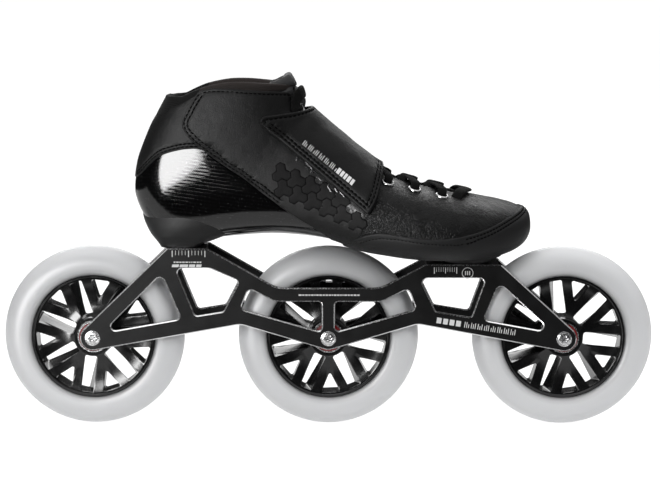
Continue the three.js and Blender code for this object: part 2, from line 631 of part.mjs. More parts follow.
// ---------------------------------------------------------------- boot bolts
function addBolts() {
  const decks = { rear: [-MOUNT_X, REAR_DECK_Z, 133], front: [MOUNT_X, FRONT_DECK_Z, 122.4] };
  for (const [name, [x, z, top]] of Object.entries(decks)) {
    const under = z - DECK_THICKNESS;
    const washerLow = under - GAP - 1.2;
    const bolt = turned([
      [0, washerLow - 3.8], [5, washerLow - 3.8], [5, washerLow - GAP], [BOLT_RADIUS, washerLow - GAP],
      [BOLT_RADIUS, top - 0.6], [0, top - 0.6],
    ], 12);
    bolt.rotateX(Math.PI / 2);
    const key = new THREE.CylinderGeometry(2.3, 2.3, 5, 6).rotateX(Math.PI / 2).translate(0, 0, washerLow - 3.8);
    const washer = ring(BOLT_RADIUS + 0.2, 6.2, washerLow, under - GAP, 12).rotateX(Math.PI / 2);
    const insert = ring(BOLT_RADIUS + 0.1, 4.4, z + GAP, top - 0.6, 12).rotateX(Math.PI / 2);
    const group = new THREE.Group();
    group.position.x = x;
    skate.add(group);
    part(`${name}_boot_bolt`, solid(bolt).subtract(solid(key)), LOOK.steel, group);
    part(`${name}_bolt_washer`, solid(washer), LOOK.steel, group);
    part(`${name}_threaded_insert`, solid(insert), LOOK.steel, group);
  }
}

// ---------------------------------------------------------------- strap and lace
// Height of the strap's inner face over the leather: close at the sides, higher over the laces.
const strapLift = (s, v) => {
  const fromRidge = Math.min(v, 1 - v);
  return 1.1 + 5.2 * Math.exp(-((fromRidge / 0.16) ** 2));
};
const STRAP_EDGE = [[-44.6, 213, 4], [-34, 220, 2], [-4, 226], [60, 190], [37.5, 181], [31.5, 153, 1.5]];
const STRAP_ROOT_V = 0.79; // where the strap is sewn to the inner side

function addStrap() {
  const outer = bootSolid((s, v) => strapLift(s, v) + STRAP_THICKNESS, true);
  const band = outer.subtract(bootSolid(strapLift, true));
  const outerSide = slab(outline(STRAP_EDGE), -70, 1);
  const innerEdge = [[-33, 204], [-40, 232], [-4, 226], [60, 190], [37.5, 181], [30, 163]];
  const innerSide = slab(outline(innerEdge), 1 - 0.01, 70);
  part('instep_strap', pieceAt(band.intersect(outerSide.add(innerSide)).decompose(), 11, 0.1, -3), LOOK.leather);
  const patch = bootSolid(0.85).subtract(bootSolid(GAP, true));
  const field = slab(outline([[-38, 211], [-30, 216], [30, 163], [29, 157]]), -70, 0);
  const spot = onSide(-2, 185, -1);
  part('hook_patch', pieceAt(patch.intersect(field).decompose(), spot.s, spot.v, -0.6), LOOK.lace);
}

// One run of lace between two eyelets, arched over the instep to a height above the leather.
function laceRun(from, to, arch) {
  const s = (from.s + to.s) / 2;
  const shoulder = (spot) => {
    const v = spot.v < 0.5 ? spot.v * 0.6 : 1 - (1 - spot.v) * 0.6;
    return bootAt(spot.s * 0.7 + s * 0.3, v, 2.7);
  };
  const end = (spot) => bootAt(spot.s, spot.v, 2.4);
  const path = new THREE.CatmullRomCurve3([end(from), shoulder(from), bootAt(s, 0, arch), shoulder(to), end(to)]);
  const section = new THREE.Shape();
  section.absellipse(0, 0, LACE_RADIUS, LACE_RADIUS, 0, 2 * Math.PI, false, 0);
  return solid(new THREE.ExtrudeGeometry(section, { steps: 5, extrudePath: path, curveSegments: 2 }));
}

function addLace(spots) {
  const find = (side, name) => spots.find((spot) => spot.name === `eyelet_${side}_${name}`);
  const rows = EYELETS.map((row) => row[2]);
  let lace = laceRun(find('outer', rows[0]), find('inner', rows[0]), 1.4);
  for (let i = 0; i + 1 < rows.length; i++) {
    lace = lace.add(laceRun(find('outer', rows[i]), find('inner', rows[i + 1]), 1.2));
    lace = lace.add(laceRun(find('inner', rows[i]), find('outer', rows[i + 1]), 2.4));
  }
  for (const spot of spots) {
    lace = lace.add(solid(setOnBoot(rod(LACE_RADIUS + 0.1, -0.9, 2.8, 5), spot.s, spot.v)));
  }
  part('lace', lace.add(laceRun(find('outer', 'top'), find('inner', 'top'), 2)), LOOK.lace);
}

function addEyelets(spots) {
  for (const spot of spots) part(spot.name, solid(setOnBoot(eyeletGeometry(), spot.s, spot.v)), LOOK.steel);
}

// ---------------------------------------------------------------- the skate
addWheels();
part('frame', frameSolid(), LOOK.anodised);
addBolts();
addShell();
addInsole();
addLining();
const spots = eyeletSpots();
addUpper(spots);
addEyelets(spots);
addStrap();
addLace(spots);

export default skate;
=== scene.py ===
"""Looks of the inline speed skate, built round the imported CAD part. Lengths are in millimetres unless said."""
import math
import random

import bmesh
import bpy
import numpy as np
from mathutils import Matrix, Vector, geometry, kdtree, noise


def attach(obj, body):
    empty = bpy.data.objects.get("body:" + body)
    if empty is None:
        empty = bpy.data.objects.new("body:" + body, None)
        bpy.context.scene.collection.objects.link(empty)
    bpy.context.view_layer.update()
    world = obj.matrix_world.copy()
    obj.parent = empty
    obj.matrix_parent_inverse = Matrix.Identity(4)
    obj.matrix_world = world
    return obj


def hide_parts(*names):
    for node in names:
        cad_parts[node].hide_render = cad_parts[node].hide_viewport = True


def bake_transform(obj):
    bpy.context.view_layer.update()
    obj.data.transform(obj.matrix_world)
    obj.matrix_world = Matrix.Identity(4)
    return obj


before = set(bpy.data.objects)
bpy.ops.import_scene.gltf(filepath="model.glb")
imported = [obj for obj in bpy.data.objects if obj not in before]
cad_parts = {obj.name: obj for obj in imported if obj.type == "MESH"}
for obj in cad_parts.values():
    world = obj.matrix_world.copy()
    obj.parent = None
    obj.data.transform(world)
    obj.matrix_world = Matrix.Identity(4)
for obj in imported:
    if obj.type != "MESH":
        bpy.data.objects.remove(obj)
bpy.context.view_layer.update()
MM = 0.001
LATERAL, MEDIAL = 1, -1
FIXED = "boot_and_frame"
link_object = bpy.context.scene.collection.objects.link

# ---------------------------------------------------------------- camera
camera_data = bpy.data.cameras.new("camera")
camera_data.sensor_width = 36
camera_data.lens = 107.74
camera = bpy.data.objects.new("camera", camera_data)
camera.location = (0.0028, -1.355, 0.3144)
camera.rotation_euler = (math.radians(90 - 8.017), math.radians(-0.1), math.radians(0.089))
link_object(camera)
bpy.context.scene.camera = camera

# ---------------------------------------------------------------- materials
SOCKETS = {
    "color": "Base Color", "rough": "Roughness", "metal": "Metallic", "normal": "Normal", "coat": "Coat Weight",
    "coat_rough": "Coat Roughness", "coat_normal": "Coat Normal", "coat_ior": "Coat IOR",
    "spec": "Specular IOR Level", "sheen": "Sheen Weight", "sheen_rough": "Sheen Roughness",
    "sss": "Subsurface Weight", "sss_radius": "Subsurface Radius", "sss_scale": "Subsurface Scale",
    "emission": "Emission Color", "emit": "Emission Strength"}


class Nodes:
    """A small wrapper that adds nodes to one material and links them."""

    def __init__(self, name):
        self.material = bpy.data.materials.new(name)
        self.material.use_nodes = True
        self.tree = self.material.node_tree
        self.shader = self.tree.nodes["Principled BSDF"]
        self.place = self.tree.nodes.new("ShaderNodeTexCoord").outputs["Object"]

    def add(self, kind, inputs=None, **settings):
        n = self.tree.nodes.new("ShaderNode" + kind)
        for key, value in settings.items():
            setattr(n, key, value)
        for key, value in (inputs or {}).items():
            self.put(n.inputs[key], value)
        return n

    def put(self, socket, value):
        if isinstance(value, bpy.types.NodeSocket):
            self.tree.links.new(value, socket)
        else:
            socket.default_value = value

    def set(self, **inputs):
        for key, value in inputs.items():
            self.put(self.shader.inputs[SOCKETS[key]], value)
        return self.material

    def math(self, operation, *values):
        n = self.add("Math", operation=operation)
        for socket, value in zip(n.inputs, values):
            self.put(socket, value)
        return n.outputs[0]

    def times(self, a, b):
        return self.math("MULTIPLY", a, b)

    def total(self, *terms):
        """Sum of the terms, each a value or a (value, weight) pair."""
        parts = [self.times(*t) if isinstance(t, tuple) else t for t in terms]
        out = parts[-1]
        for p in parts[-2::-1]:
            out = self.math("ADD", p, out)
        return out

    def noise(self, scale, detail=3.0, rough=0.5, vector=None):
        inputs = {"Vector": vector or self.place, "Scale": scale, "Detail": detail, "Roughness": rough}
        return self.add("TexNoise", inputs).outputs["Fac"]

    def cells(self, scale, feature="F1"):
        return self.add("TexVoronoi", {"Vector": self.place, "Scale": scale}, feature=feature).outputs["Distance"]

    def ramp(self, fac, low, high, a=0.0, b=1.0):
        values = {"Value": fac, "From Min": a, "From Max": b, "To Min": low, "To Max": high}
        return self.add("MapRange", values).outputs[0]

    def mix(self, fac, a, b):
        n = self.add("Mix", data_type="RGBA")
        for socket, value in zip((n.inputs[0], n.inputs[6], n.inputs[7]), (fac, a, b)):
            self.put(socket, (*value, 1) if isinstance(value, tuple) else value)
        return n.outputs[2]

    def bump(self, height, distance, strength=1.0, normal=None):
        inputs = {"Height": height, "Distance": distance, "Strength": strength}
        return self.add("Bump", inputs | ({"Normal": normal} if normal else {})).outputs[0]


def cloudy(name, broad, fine, dark, light, rough, relief, **more):
    """Two tones and a roughness that follow broad noise, over a relief of fine noise."""
    m = Nodes(name)
    clouds = m.noise(*broad)
    grain = m.noise(*fine) if fine else clouds
    return m.set(color=m.mix(clouds, dark, light), rough=m.ramp(clouds, *rough), normal=m.bump(grain, *relief), **more)


def bare_metal(name, tone, rough):
    return cloudy(name, (900, 4, 0.6), (6000, 2), (tone * 0.9,) * 3, (tone * 1.05, tone * 1.05, tone * 1.06),
                  (rough - 0.06, rough + 0.1, 0.3, 0.7), (0.00001, 0.5), metal=1.0)


def leather(name, shade=1.0, gloss=0.0, grain=1.0, wet=False, wrinkle=0.0009, spec=0.19, cell=1150):
    """wet adds a clear print where the mesh's wet attribute says."""
    m = Nodes(name)
    pores = m.ramp(m.cells(cell, "DISTANCE_TO_EDGE"), 0, 1, 0.0, 0.25)
    fine = m.noise(5200, 3)
    patches = m.noise(38, 4, 0.6)
    height = m.total((pores, 0.55), (m.cells(420, "SMOOTH_F1"), 0.25), (fine, 0.2))
    normal = m.bump(m.noise(95, 4, 0.55), wrinkle, 0.45, m.bump(height, 0.00016 * grain, 0.75))
    dark, light = [tuple(c * shade for c in tone) for tone in ((0.0026, 0.0026, 0.0027), (0.0048, 0.0048, 0.005))]
    tone = m.mix(m.ramp(pores, 0.35, 0.0), m.mix(patches, dark, light), (0.0015, 0.0015, 0.0015))
    rough = m.total(m.ramp(patches, 0.40 - gloss, 0.52 - gloss, 0.25, 0.75), m.ramp(fine, -0.05, 0.06))
    if wet:
        mask = m.add("Attribute", attribute_name="wet").outputs["Fac"]
        amount = m.times(mask, m.ramp(m.noise(240, 4, 0.7), 0, 1, 0.44, 0.58))
        rough = m.math("SUBTRACT", rough, m.times(amount, 0.26))
        m.set(coat=m.times(amount, 0.7), coat_rough=0.18)
    return m.set(color=tone, rough=rough, normal=normal, spec=spec, sheen=0.02, sheen_rough=0.4)


def rubberised():
    m = Nodes("rand_rubberised")
    patches = m.noise(60, 3)
    height = m.total(m.noise(3600, 4, 0.65), (m.cells(1500), 0.7))
    return m.set(color=m.mix(patches, (0.008, 0.008, 0.0083), (0.0125, 0.0125, 0.0128)),
                 rough=m.ramp(patches, 0.46, 0.6, 0.3, 0.7), normal=m.bump(height, 0.00012, 0.7), spec=0.2)


def carbon():
    """2 by 2 twill in the mesh's own UV, in millimetres, under a clear coat."""
    m = Nodes("carbon_weave")
    tow, repeat, over = 0.85, 4.0, 1.5
    uv = m.add("UVMap", uv_map="weave").outputs[0]
    split = m.add("SeparateXYZ", {"Vector": uv})
    u, v = [m.math("DIVIDE", split.outputs[i], tow) for i in (0, 1)]
    fu, fv = m.math("FLOOR", u), m.math("FLOOR", v)
    phase = m.math("MODULO", m.total(m.total(fu, fv), 1000 * repeat), repeat)
    warp = m.math("LESS_THAN", phase, over)
    arch = lambda t, floor: m.math("SINE", m.times(m.math("SUBTRACT", t, floor), math.pi))
    across = m.total((warp, arch(u, fu)), (m.math("SUBTRACT", 1.0, warp), arch(v, fv)))
    # painted glints: light grey specks painted into the base colour of the warp tows, standing in for sparkle of light
    # off the fibres
    painted_glint = m.ramp(m.noise(1500, 2, 0.8), 0, 1, 0.66, 0.74)
    tone = m.mix(warp, (0.0015, 0.0015, 0.0016), (0.004, 0.004, 0.0042))
    tone = m.mix(m.times(painted_glint, warp), tone, (0.25, 0.25, 0.255))
    under = m.bump(m.total(across, (m.noise(2600, 2), 0.3)), 0.00012, 0.8)
    pulled = m.add("Mapping", {"Vector": uv, "Scale": (1.0, 0.7, 1.0)}).outputs[0]
    streaks = m.noise(1.0, 3, 0.6, pulled)
    clear = m.bump(m.total((across, 0.5), (streaks, 0.65)), 0.00002, 0.7)
    return m.set(color=tone, rough=0.5, normal=under, spec=0.0,
                 coat=1.0, coat_rough=0.03, coat_normal=clear, coat_ior=1.5)


def anodised():
    m = Nodes("black_anodised")
    specks = m.ramp(m.noise(5200, 2, 0.9), 0, 1, 0.62, 0.72)
    return m.set(color=m.mix(specks, (0.0034, 0.0034, 0.0036), (0.018, 0.018, 0.019)), metal=0.0, spec=0.16,
                 rough=m.ramp(m.noise(90, 3), 0.34, 0.42, 0.3, 0.7), normal=m.bump(m.noise(9000, 2, 0.8), 0.00003, 0.5))


def urethane():
    m = Nodes("cast_urethane")
    fine = m.noise(1500, 4, 0.6)
    # painted shade: toward the hub core the tyre's colour is painted dark grey, standing in for the shade by the hub
    near = m.add("Attribute", attribute_name="painted_core_shade").outputs["Fac"]
    cloud = m.mix(m.noise(26, 3, 0.5), (0.64, 0.645, 0.655), (0.69, 0.695, 0.705))
    return m.set(color=m.mix(near, cloud, (0.22, 0.22, 0.225)), rough=m.ramp(fine, 0.34, 0.44, 0.3, 0.7), spec=0.4,
                 normal=m.bump(fine, 0.00004, 0.5), sss=0.85, sss_radius=(1.0, 1.0, 1.05), sss_scale=0.006)


def fabric(name, tone, scale, rough, sheen, spec=0.25):
    m = Nodes(name)
    wave = {"Vector": m.place, "Scale": scale / 6.28, "Distortion": 0.6, "Detail": 1.0}
    threads = m.add("TexWave", wave, wave_type="BANDS", bands_direction="DIAGONAL").outputs["Fac"]
    height = m.total((threads, 0.5), (m.cells(scale * 0.9), 0.6), (m.noise(scale * 2.5, 3), 0.4))
    return m.set(color=m.mix(m.ramp(height, 0, 1, 0.3, 1.1), tuple(c * 0.55 for c in tone), tone), rough=rough,
                 normal=m.bump(height, 0.0002, 0.9), sheen=sheen, sheen_rough=0.5, spec=spec)


WHITE = 0.78
M = {
    "leather": leather("leather_fine_grain"),
    "quarter": leather("leather_quarter", wet=True),
    "vamp": leather("leather_vamp", gloss=0.17, grain=2.6, wrinkle=0.0035, spec=0.15, cell=760),
    "strap": leather("leather_strap", grain=0.9, spec=0.15),
    "tongue": leather("leather_tongue", shade=6.0, gloss=-0.1, grain=0.8, spec=0.4),
    # darker than the quarter's leather: partly the tread's own tone, partly painted shade under the strap
    "tread": leather("leather_tread", shade=0.7, gloss=-0.08, grain=0.6, spec=0.1),
    "rand": rubberised(),
    "carbon": carbon(),
    "anodised": anodised(),
    "bare": bare_metal("bare_chamfer", 0.78, 0.24),
    "steel": bare_metal("plated_steel", 0.62, 0.22),
    "aluminium": bare_metal("turned_aluminium", 0.66, 0.3),
    "urethane": urethane(),
    "core": cloudy("moulded_core", (120, 4, 0.6), (4200, 3, 0.6), (0.0022, 0.0022, 0.0024), (0.004, 0.004, 0.0043),
                   (0.15, 0.22, 0.3, 0.7), (0.00002, 0.4), spec=0.5),
    "lining": fabric("lining_microfibre", (0.021, 0.0155, 0.014), 2600, 0.8, 0.08, 0.15),
    "insole": fabric("insole_textile", (0.022, 0.021, 0.021), 1800, 0.9, 0.3),
    "lace": fabric("lace_braid", (0.0035, 0.0035, 0.0035), 1500, 0.9, 0.03, 0.06),
    "knit": fabric("knit_pad", (0.0045, 0.0045, 0.0045), 1700, 0.9, 0.05, 0.1),
    # painted shade: a near-black cloth for the faces of the tread grooves
    "gap": fabric("groove_shadow", (0.0015, 0.0015, 0.0015), 2600, 0.95, 0.0, 0.03),
    "thread": fabric("thread", (0.0012, 0.0012, 0.0012), 5200, 0.9, 0.0, 0.03),
    "loop": fabric("hook_and_loop", (0.009, 0.009, 0.009), 1500, 0.95, 0.3),
    "print": cloudy("print_white", (3000, 3), None, (WHITE * 0.92,) * 3, (WHITE,) * 3, (0.4, 0.55), (0.00001, 0.4),
                    spec=0.4),
    "film": cloudy("clear_film", (700, 3), None, (0.02, 0.02, 0.02), (0.05, 0.05, 0.052), (0.18, 0.34), (0.00008, 0.7),
                   spec=0.7, coat=0.6, coat_rough=0.12),
    "seal": cloudy("bearing_seal", (1400, 3), None, (0.24, 0.012, 0.016), (0.32, 0.018, 0.022), (0.38, 0.5),
                   (0.00002, 0.5)),
}


# ---------------------------------------------------------------- mesh helpers
def shade_smooth(me, sharp=None):
    me.polygons.foreach_set("use_smooth", [True] * len(me.polygons))
    if sharp:
        me.set_sharp_from_angle(angle=math.radians(sharp))


def mesh_object(name, points, faces, materials, face_material=None, smooth=True, sharp=None, uv=None):
    me = bpy.data.meshes.new(name)
    me.from_pydata((np.asarray(points, float) * MM).tolist(), [], [list(map(int, f)) for f in faces])
    for m in materials:
        me.materials.append(M[m])
    if face_material is not None:
        me.polygons.foreach_set("material_index", np.asarray(face_material, np.int32))
    if uv is not None:
        layer = me.uv_layers.new(name="weave")
        loops = np.zeros(len(me.loops), np.int32)
        me.loops.foreach_get("vertex_index", loops)
        layer.data.foreach_set("uv", np.asarray(uv, np.float32)[loops].ravel())
    me.update()
    if smooth:
        shade_smooth(me, sharp)
    o = bpy.data.objects.new(name, me)
    link_object(o)
    return o


def place(o, body, slot=None, *nodes):
    """Hand a piece to its body and hide the CAD nodes that it stands for. slot is not used."""
    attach(o, body)
    if nodes:
        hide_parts(*nodes)


def rows_mesh(rows, close=False, capped=False):
    """Points and faces between closed rings of equal length."""
    n, count = len(rows[0]), len(rows)
    faces = []
    for i in range(count if close else count - 1):
        a, b = i * n, ((i + 1) % count) * n
        for j in range(n):
            k = (j + 1) % n
            faces.append((a + j, a + k, b + k, b + j))
    if capped:
        faces += [tuple(range(n))[::-1], tuple(range((count - 1) * n, count * n))]
    return np.concatenate(rows), faces


def rings_object(name, rows, material, close=False, sharp=None, uv=None):
    """A solid through rings, closed end to end or capped. uv makes coordinates of its points."""
    points, faces = rows_mesh(rows, close, not close)
    return tidy(mesh_object(name, points, faces, [material], sharp=sharp, uv=uv and uv(points)))


def circle(radius, y, n, centre=(0, 0, 0), star=0.0, lobes=6):
    a = np.arange(n) * 2 * np.pi / n
    r = radius + star * np.cos(lobes * a)
    return np.stack([centre[0] + r * np.cos(a), np.full(n, centre[1] + y), centre[2] + r * np.sin(a)], 1)


def lathe(name, profile, materials, centre=(0, 0, 0), n=96, face_material=None, sharp=35):
    """A closed [radius, y] profile turned about Y."""
    points, faces = rows_mesh([circle(r, y, n, centre) for r, y in profile], close=True)
    fm = None if face_material is None else np.repeat(face_material, n)
    return tidy(mesh_object(name, points, faces, materials, fm, sharp=sharp))


def tidy(o):
    bm = bmesh.new()
    bm.from_mesh(o.data)
    bmesh.ops.remove_doubles(bm, verts=bm.verts, dist=2e-6)
    bmesh.ops.recalc_face_normals(bm, faces=bm.faces)
    bm.to_mesh(o.data)
    bm.free()
    return o


def joined(name, objects):
    """One object from several, keeping the materials of each."""
    bpy.ops.object.select_all(action="DESELECT")
    for o in objects:
        o.select_set(True)
    bpy.context.view_layer.objects.active = objects[0]
    bpy.ops.object.join()
    objects[0].name = name
    return objects[0]


def modified(o, kind, **settings):
    """Add one modifier, and make its result the mesh."""
    change = o.modifiers.new(kind, kind)
    for key, value in settings.items():
        setattr(change, key, value)
    me = bpy.data.meshes.new_from_object(o.evaluated_get(bpy.context.evaluated_depsgraph_get()))
    o.modifiers.clear()
    o.data = me
    return o


def cut_away(body, cutter):
    modified(body, "BOOLEAN", operation="DIFFERENCE", object=cutter, solver="EXACT")
    bpy.data.objects.remove(cutter)


def flat_solid(name, outline, holes, low, high, chamfer, materials):
    """A plate in the XZ plane between two Y values, with chamfered edges: material 1 on the chamfers."""
    cu = bpy.data.curves.new(name, "CURVE")
    cu.dimensions, cu.fill_mode = "2D", "BOTH"
    cu.extrude = ((high - low) / 2 - chamfer) * MM
    cu.bevel_depth, cu.bevel_resolution, cu.offset = chamfer * MM, 0, -chamfer * MM
    for loop in [outline, *holes]:
        sp = cu.splines.new("POLY")
        sp.points.add(len(loop) - 1)
        sp.points.foreach_set("co", np.array([(x * MM, z * MM, 0, 1) for x, z in loop], float).ravel())
        sp.use_cyclic_u = True
    temp = bpy.data.objects.new(name, cu)
    link_object(temp)
    me = bpy.data.meshes.new_from_object(temp.evaluated_get(bpy.context.evaluated_depsgraph_get()))
    bpy.data.objects.remove(temp)
    co = np.zeros(len(me.vertices) * 3)
    me.vertices.foreach_get("co", co)
    co = co.reshape(-1, 3)
    co = np.stack([co[:, 0], -co[:, 2] + (low + high) / 2 * MM, co[:, 1]], 1)
    me.vertices.foreach_set("co", co.ravel())
    o = bpy.data.objects.new(name, me)
    link_object(o)
    me.materials.clear()
    for m in materials:
        me.materials.append(M[m])
    tidy(o)
    for p in me.polygons:
        p.material_index = 1 if 0.15 < abs(p.normal.y) < 0.95 else 0
    me.set_sharp_from_angle(angle=math.radians(30))
    shade_smooth(me)
    return o


def fillet(corners, steps):
    """Points round a loop of [x, z, radius] corners."""
    out = []
    for i, c in enumerate(corners):
        x, z, r = (*c, 0)[:3]
        here = Vector((x, z))
        if not r:
            out.append((x, z))
            continue
        back = (Vector(corners[i - 1][:2]) - here).normalized()
        ahead = (Vector(corners[(i + 1) % len(corners)][:2]) - here).normalized()
        half = math.acos(max(-1, min(1, back.dot(ahead)))) / 2
        centre = here + (back + ahead).normalized() * (r / math.sin(half))
        first = here + back * (r / math.tan(half)) - centre
        start = math.atan2(first.y, first.x)
        turn = (math.pi - 2 * half) * (-1 if back.x * ahead.y - back.y * ahead.x > 0 else 1)
        for k in range(steps + 1):
            a = start + turn * k / steps
            out.append((centre.x + r * math.cos(a), centre.y + r * math.sin(a)))
    return out


def box_part(name, low, high, material, bevel):
    bpy.ops.mesh.primitive_cube_add(size=1)
    o = bpy.context.object
    o.name = name
    low, high = np.array(low) * MM, np.array(high) * MM
    for v in o.data.vertices:
        v.co = Vector((low + high) / 2 + np.array(v.co) * (high - low))
    o.data.materials.append(M[material])
    modified(o, "BEVEL", width=bevel * MM, segments=3)
    shade_smooth(o.data, 35)
    return o


# ---------------------------------------------------------------- wheels
# Each wheel's x and the angle its hub stands at.
WHEELS = {"rear": (-162.5, 5.2), "middle": (0.0, 41.0), "front": (162.5, 47.0)}
AXLE_Z = 62.5
HUB_R = 42.7
SPOKES = 7
BEARING = 5.3, 12.0
SIDES = (-1, "outer"), (1, "inner")


def mirrored(half, y_sign=-1):
    """A profile and its mirror image, the other way round."""
    return half + [(r, y * y_sign) for r, y in reversed(half)]


def tyre(name, centre):
    half = [(HUB_R, 9.6), (43.6, 10.9), (45.2, 11.6), (47.6, 11.95), (50.0, 12.0), (52.4, 11.75), (54.6, 11.1),
            (56.6, 10.1), (58.4, 8.7), (59.9, 7.0), (61.1, 5.1), (61.95, 3.1), (62.38, 1.3)]
    o = lathe(name, half + [(62.5, 0)] + mirrored(half)[len(half):], ["urethane"], centre, 160, sharp=40)
    # painted shade: how near each point lies to the hub core, for the dark grey painted there
    near = o.data.attributes.new("painted_core_shade", "FLOAT", "POINT")
    for v, item in zip(o.data.vertices, near.data):
        r = math.hypot(v.co.x / MM - centre[0], v.co.z / MM - centre[2])
        item.value = max(0.0, min(1.0, (46.8 - r) / 4.2)) ** 1.6
    return o


def hub_openings():
    """A long slot between each pair of spokes, and a triangle within the pair."""
    step = 2 * math.pi / SPOKES
    slot, spoke, first, end = 8.6, 6.6, 13.9, 39.7
    twist, web = math.radians(6.3), 7.0
    apex = (slot / 2 + spoke) / math.sin(step / 2)
    far = end - 0.2
    wide = (far - apex) * math.tan(step / 2) * 0.98
    long = fillet([(first, -slot / 2, 1.6), (end, -slot / 2, 1.2), (end, slot / 2, 1.2), (first, slot / 2, 1.6)], 5)
    triangle = fillet([(apex, 0, 1.0), (far, -wide, 1.2), (far, wide, 1.2)], 5)
    cutters = []
    for i in range(SPOKES):
        for a, flat, lean in ((i * step, long, twist), ((i + 0.5) * step, triangle, 0)):
            rows = []
            for y in (-20.0, -web, -web / 2, 0.0, web / 2, web, 20.0):
                b = a - lean * (np.clip(y, -web, web) + web) / (2 * web)
                c, s = math.cos(b), math.sin(b)
                rows.append(np.array([(x * c - z * s, y, x * s + z * c) for x, z in flat]))
            cutters.append(rings_object("cutter", rows, "core"))
    return joined("cutter", cutters)


def hub(name, centre, turn):
    """A core with seven pairs of spokes: boss, dished web with windows, rim."""
    rim = [(41.3, 10.2), (42.2, 10.2), (HUB_R - 0.02, 9.7), (HUB_R - 0.02, -9.7), (42.2, -10.2), (41.3, -10.2)]
    rim = [(39.9, 0), (39.9, 8.6), (40.4, 9.6), *rim, (40.4, -9.6), (39.9, -8.6)]
    web = [(9.7, 5.1), (11.05, 5.2), (11.05, 11.7), (11.5, 12.15), (12.9, 12.15), (13.5, 11.7), (13.8, 8.8),
           (16.5, 7.3), (22, 6.7), (30, 6.9), (36, 7.7), (40.6, 8.8)]
    body = lathe(name, mirrored(web), ["core"], n=168)
    cut_away(body, hub_openings())
    modified(body, "BEVEL", width=0.7 * MM, segments=3, limit_method="ANGLE", angle_limit=math.radians(50))
    body = joined(name, [body, lathe(name + "_rim", rim, ["core"], n=168)])
    shade_smooth(body.data, 32)
    body.data.transform(Matrix.Translation(Vector(centre) * MM) @ Matrix.Rotation(-math.radians(turn), 4, "Y"))
    return body


def bearing(side, centre, name):
    """Outer ring with its seal, and inner ring, on one side of a hub."""
    low, high = BEARING
    seal_y = high - 0.45
    outer = [(8.9, low), (11.0, low), (11.0, high - 0.35), (10.7, high), (9.95, high), (9.8, high - 0.2), (9.7, seal_y),
             (6.9, seal_y), (6.8, seal_y - 0.5), (8.9, seal_y - 0.5)]
    inner = [(4.02, low), (6.1, low), (6.1, high - 0.3), (5.85, high), (4.3, high), (4.02, high - 0.3)]
    turn = lambda word, profile, *more: lathe(f"{name}_bearing_{word}_ring", [(r, y * side) for r, y in profile], *more)
    return (turn("outer", outer, ["steel", "seal"], centre, 72, [0] * 6 + [1] * 3 + [0]),
            turn("inner", inner, ["steel"], centre, 72))


def cage(side, centre, name):
    mid = sum(BEARING) / 2 * side
    ring = [(6.9, mid - 1.9), (7.9, mid - 1.9), (7.9, mid - 1.1), (6.9, mid - 1.1)]
    parts = [lathe("ring", ring, ["steel"], centre, 48)]
    for a in np.arange(7) * 2 * math.pi / 7:
        bpy.ops.mesh.primitive_uv_sphere_add(radius=1.6 * MM, segments=20, ring_count=12)
        ball = bpy.context.object
        ball.data.materials.append(M["steel"])
        at = (centre[0] + 7.5 * math.cos(a), mid, centre[2] + 7.5 * math.sin(a))
        ball.data.transform(Matrix.Translation(Vector(at) * MM))
        shade_smooth(ball.data)
        parts.append(ball)
    return joined(name, parts)


def axle(name, centre):
    """Screw with a six-lobed key in its head, flush with the frame's face."""
    face, tail = -16.95, 16.4
    profile = [(0.05, face + 1.9, 0), (1.9, face + 1.9, 0.42), (2.25, face + 0.25, 0.5), (2.45, face, 0.5),
               (3.85, face, 0), (4.1, face + 0.12, 0), (4.28, face + 0.45, 0), (4.28, face + 2.3, 0), (3.95, face + 2.4, 0),
               (3.95, tail - 0.4, 0), (3.6, tail, 0), (0.05, tail, 0)]
    return rings_object(name, [circle(r, y, 144, centre, star) for r, y, star in profile], "steel", sharp=30)


def build_wheels():
    for name, (x, turn) in WHEELS.items():
        centre = (x, 0, AXLE_Z)
        wheel = f"{name}_wheel"
        place(tyre(f"{name}_tyre_cast", centre), wheel, "urethane", f"{name}_tyre")
        place(hub(f"{name}_hub_core", centre, turn), wheel, "core", f"{name}_hub")
        place(axle(f"{name}_axle_screw", centre), FIXED, "steel", f"{name}_axle")
        spacer = [(4.1, -4.95), (5.3, -4.95), (5.4, -4.8), (5.4, 4.8), (5.3, 4.95), (4.1, 4.95)]
        tube = lathe(f"{name}_spacer_tube", spacer, ["aluminium"], centre, 64)
        place(tube, FIXED, "aluminium", f"{name}_bearing_spacer")
        for side, word in SIDES:
            outer, inner = bearing(side, centre, f"{name}_{word}")
            place(outer, wheel, "steel", f"{name}_{word}_side_bearing_outer_ring")
            place(inner, FIXED, "steel", f"{name}_{word}_side_bearing_inner_ring")
            place(cage(side, centre, f"{name}_{word}_balls"), f"{name}_balls", "steel", f"{name}_{word}_side_ball_cage")


# ---------------------------------------------------------------- frame
END_R = 8.6
PLATE = 13.25, 16.8
PRINT_Y = -16.86


def frame_end(x, first, last):
    turns = np.radians(np.linspace(first, last, 15))
    return [(x + END_R * math.cos(a), AXLE_Z + END_R * math.sin(a)) for a in turns]


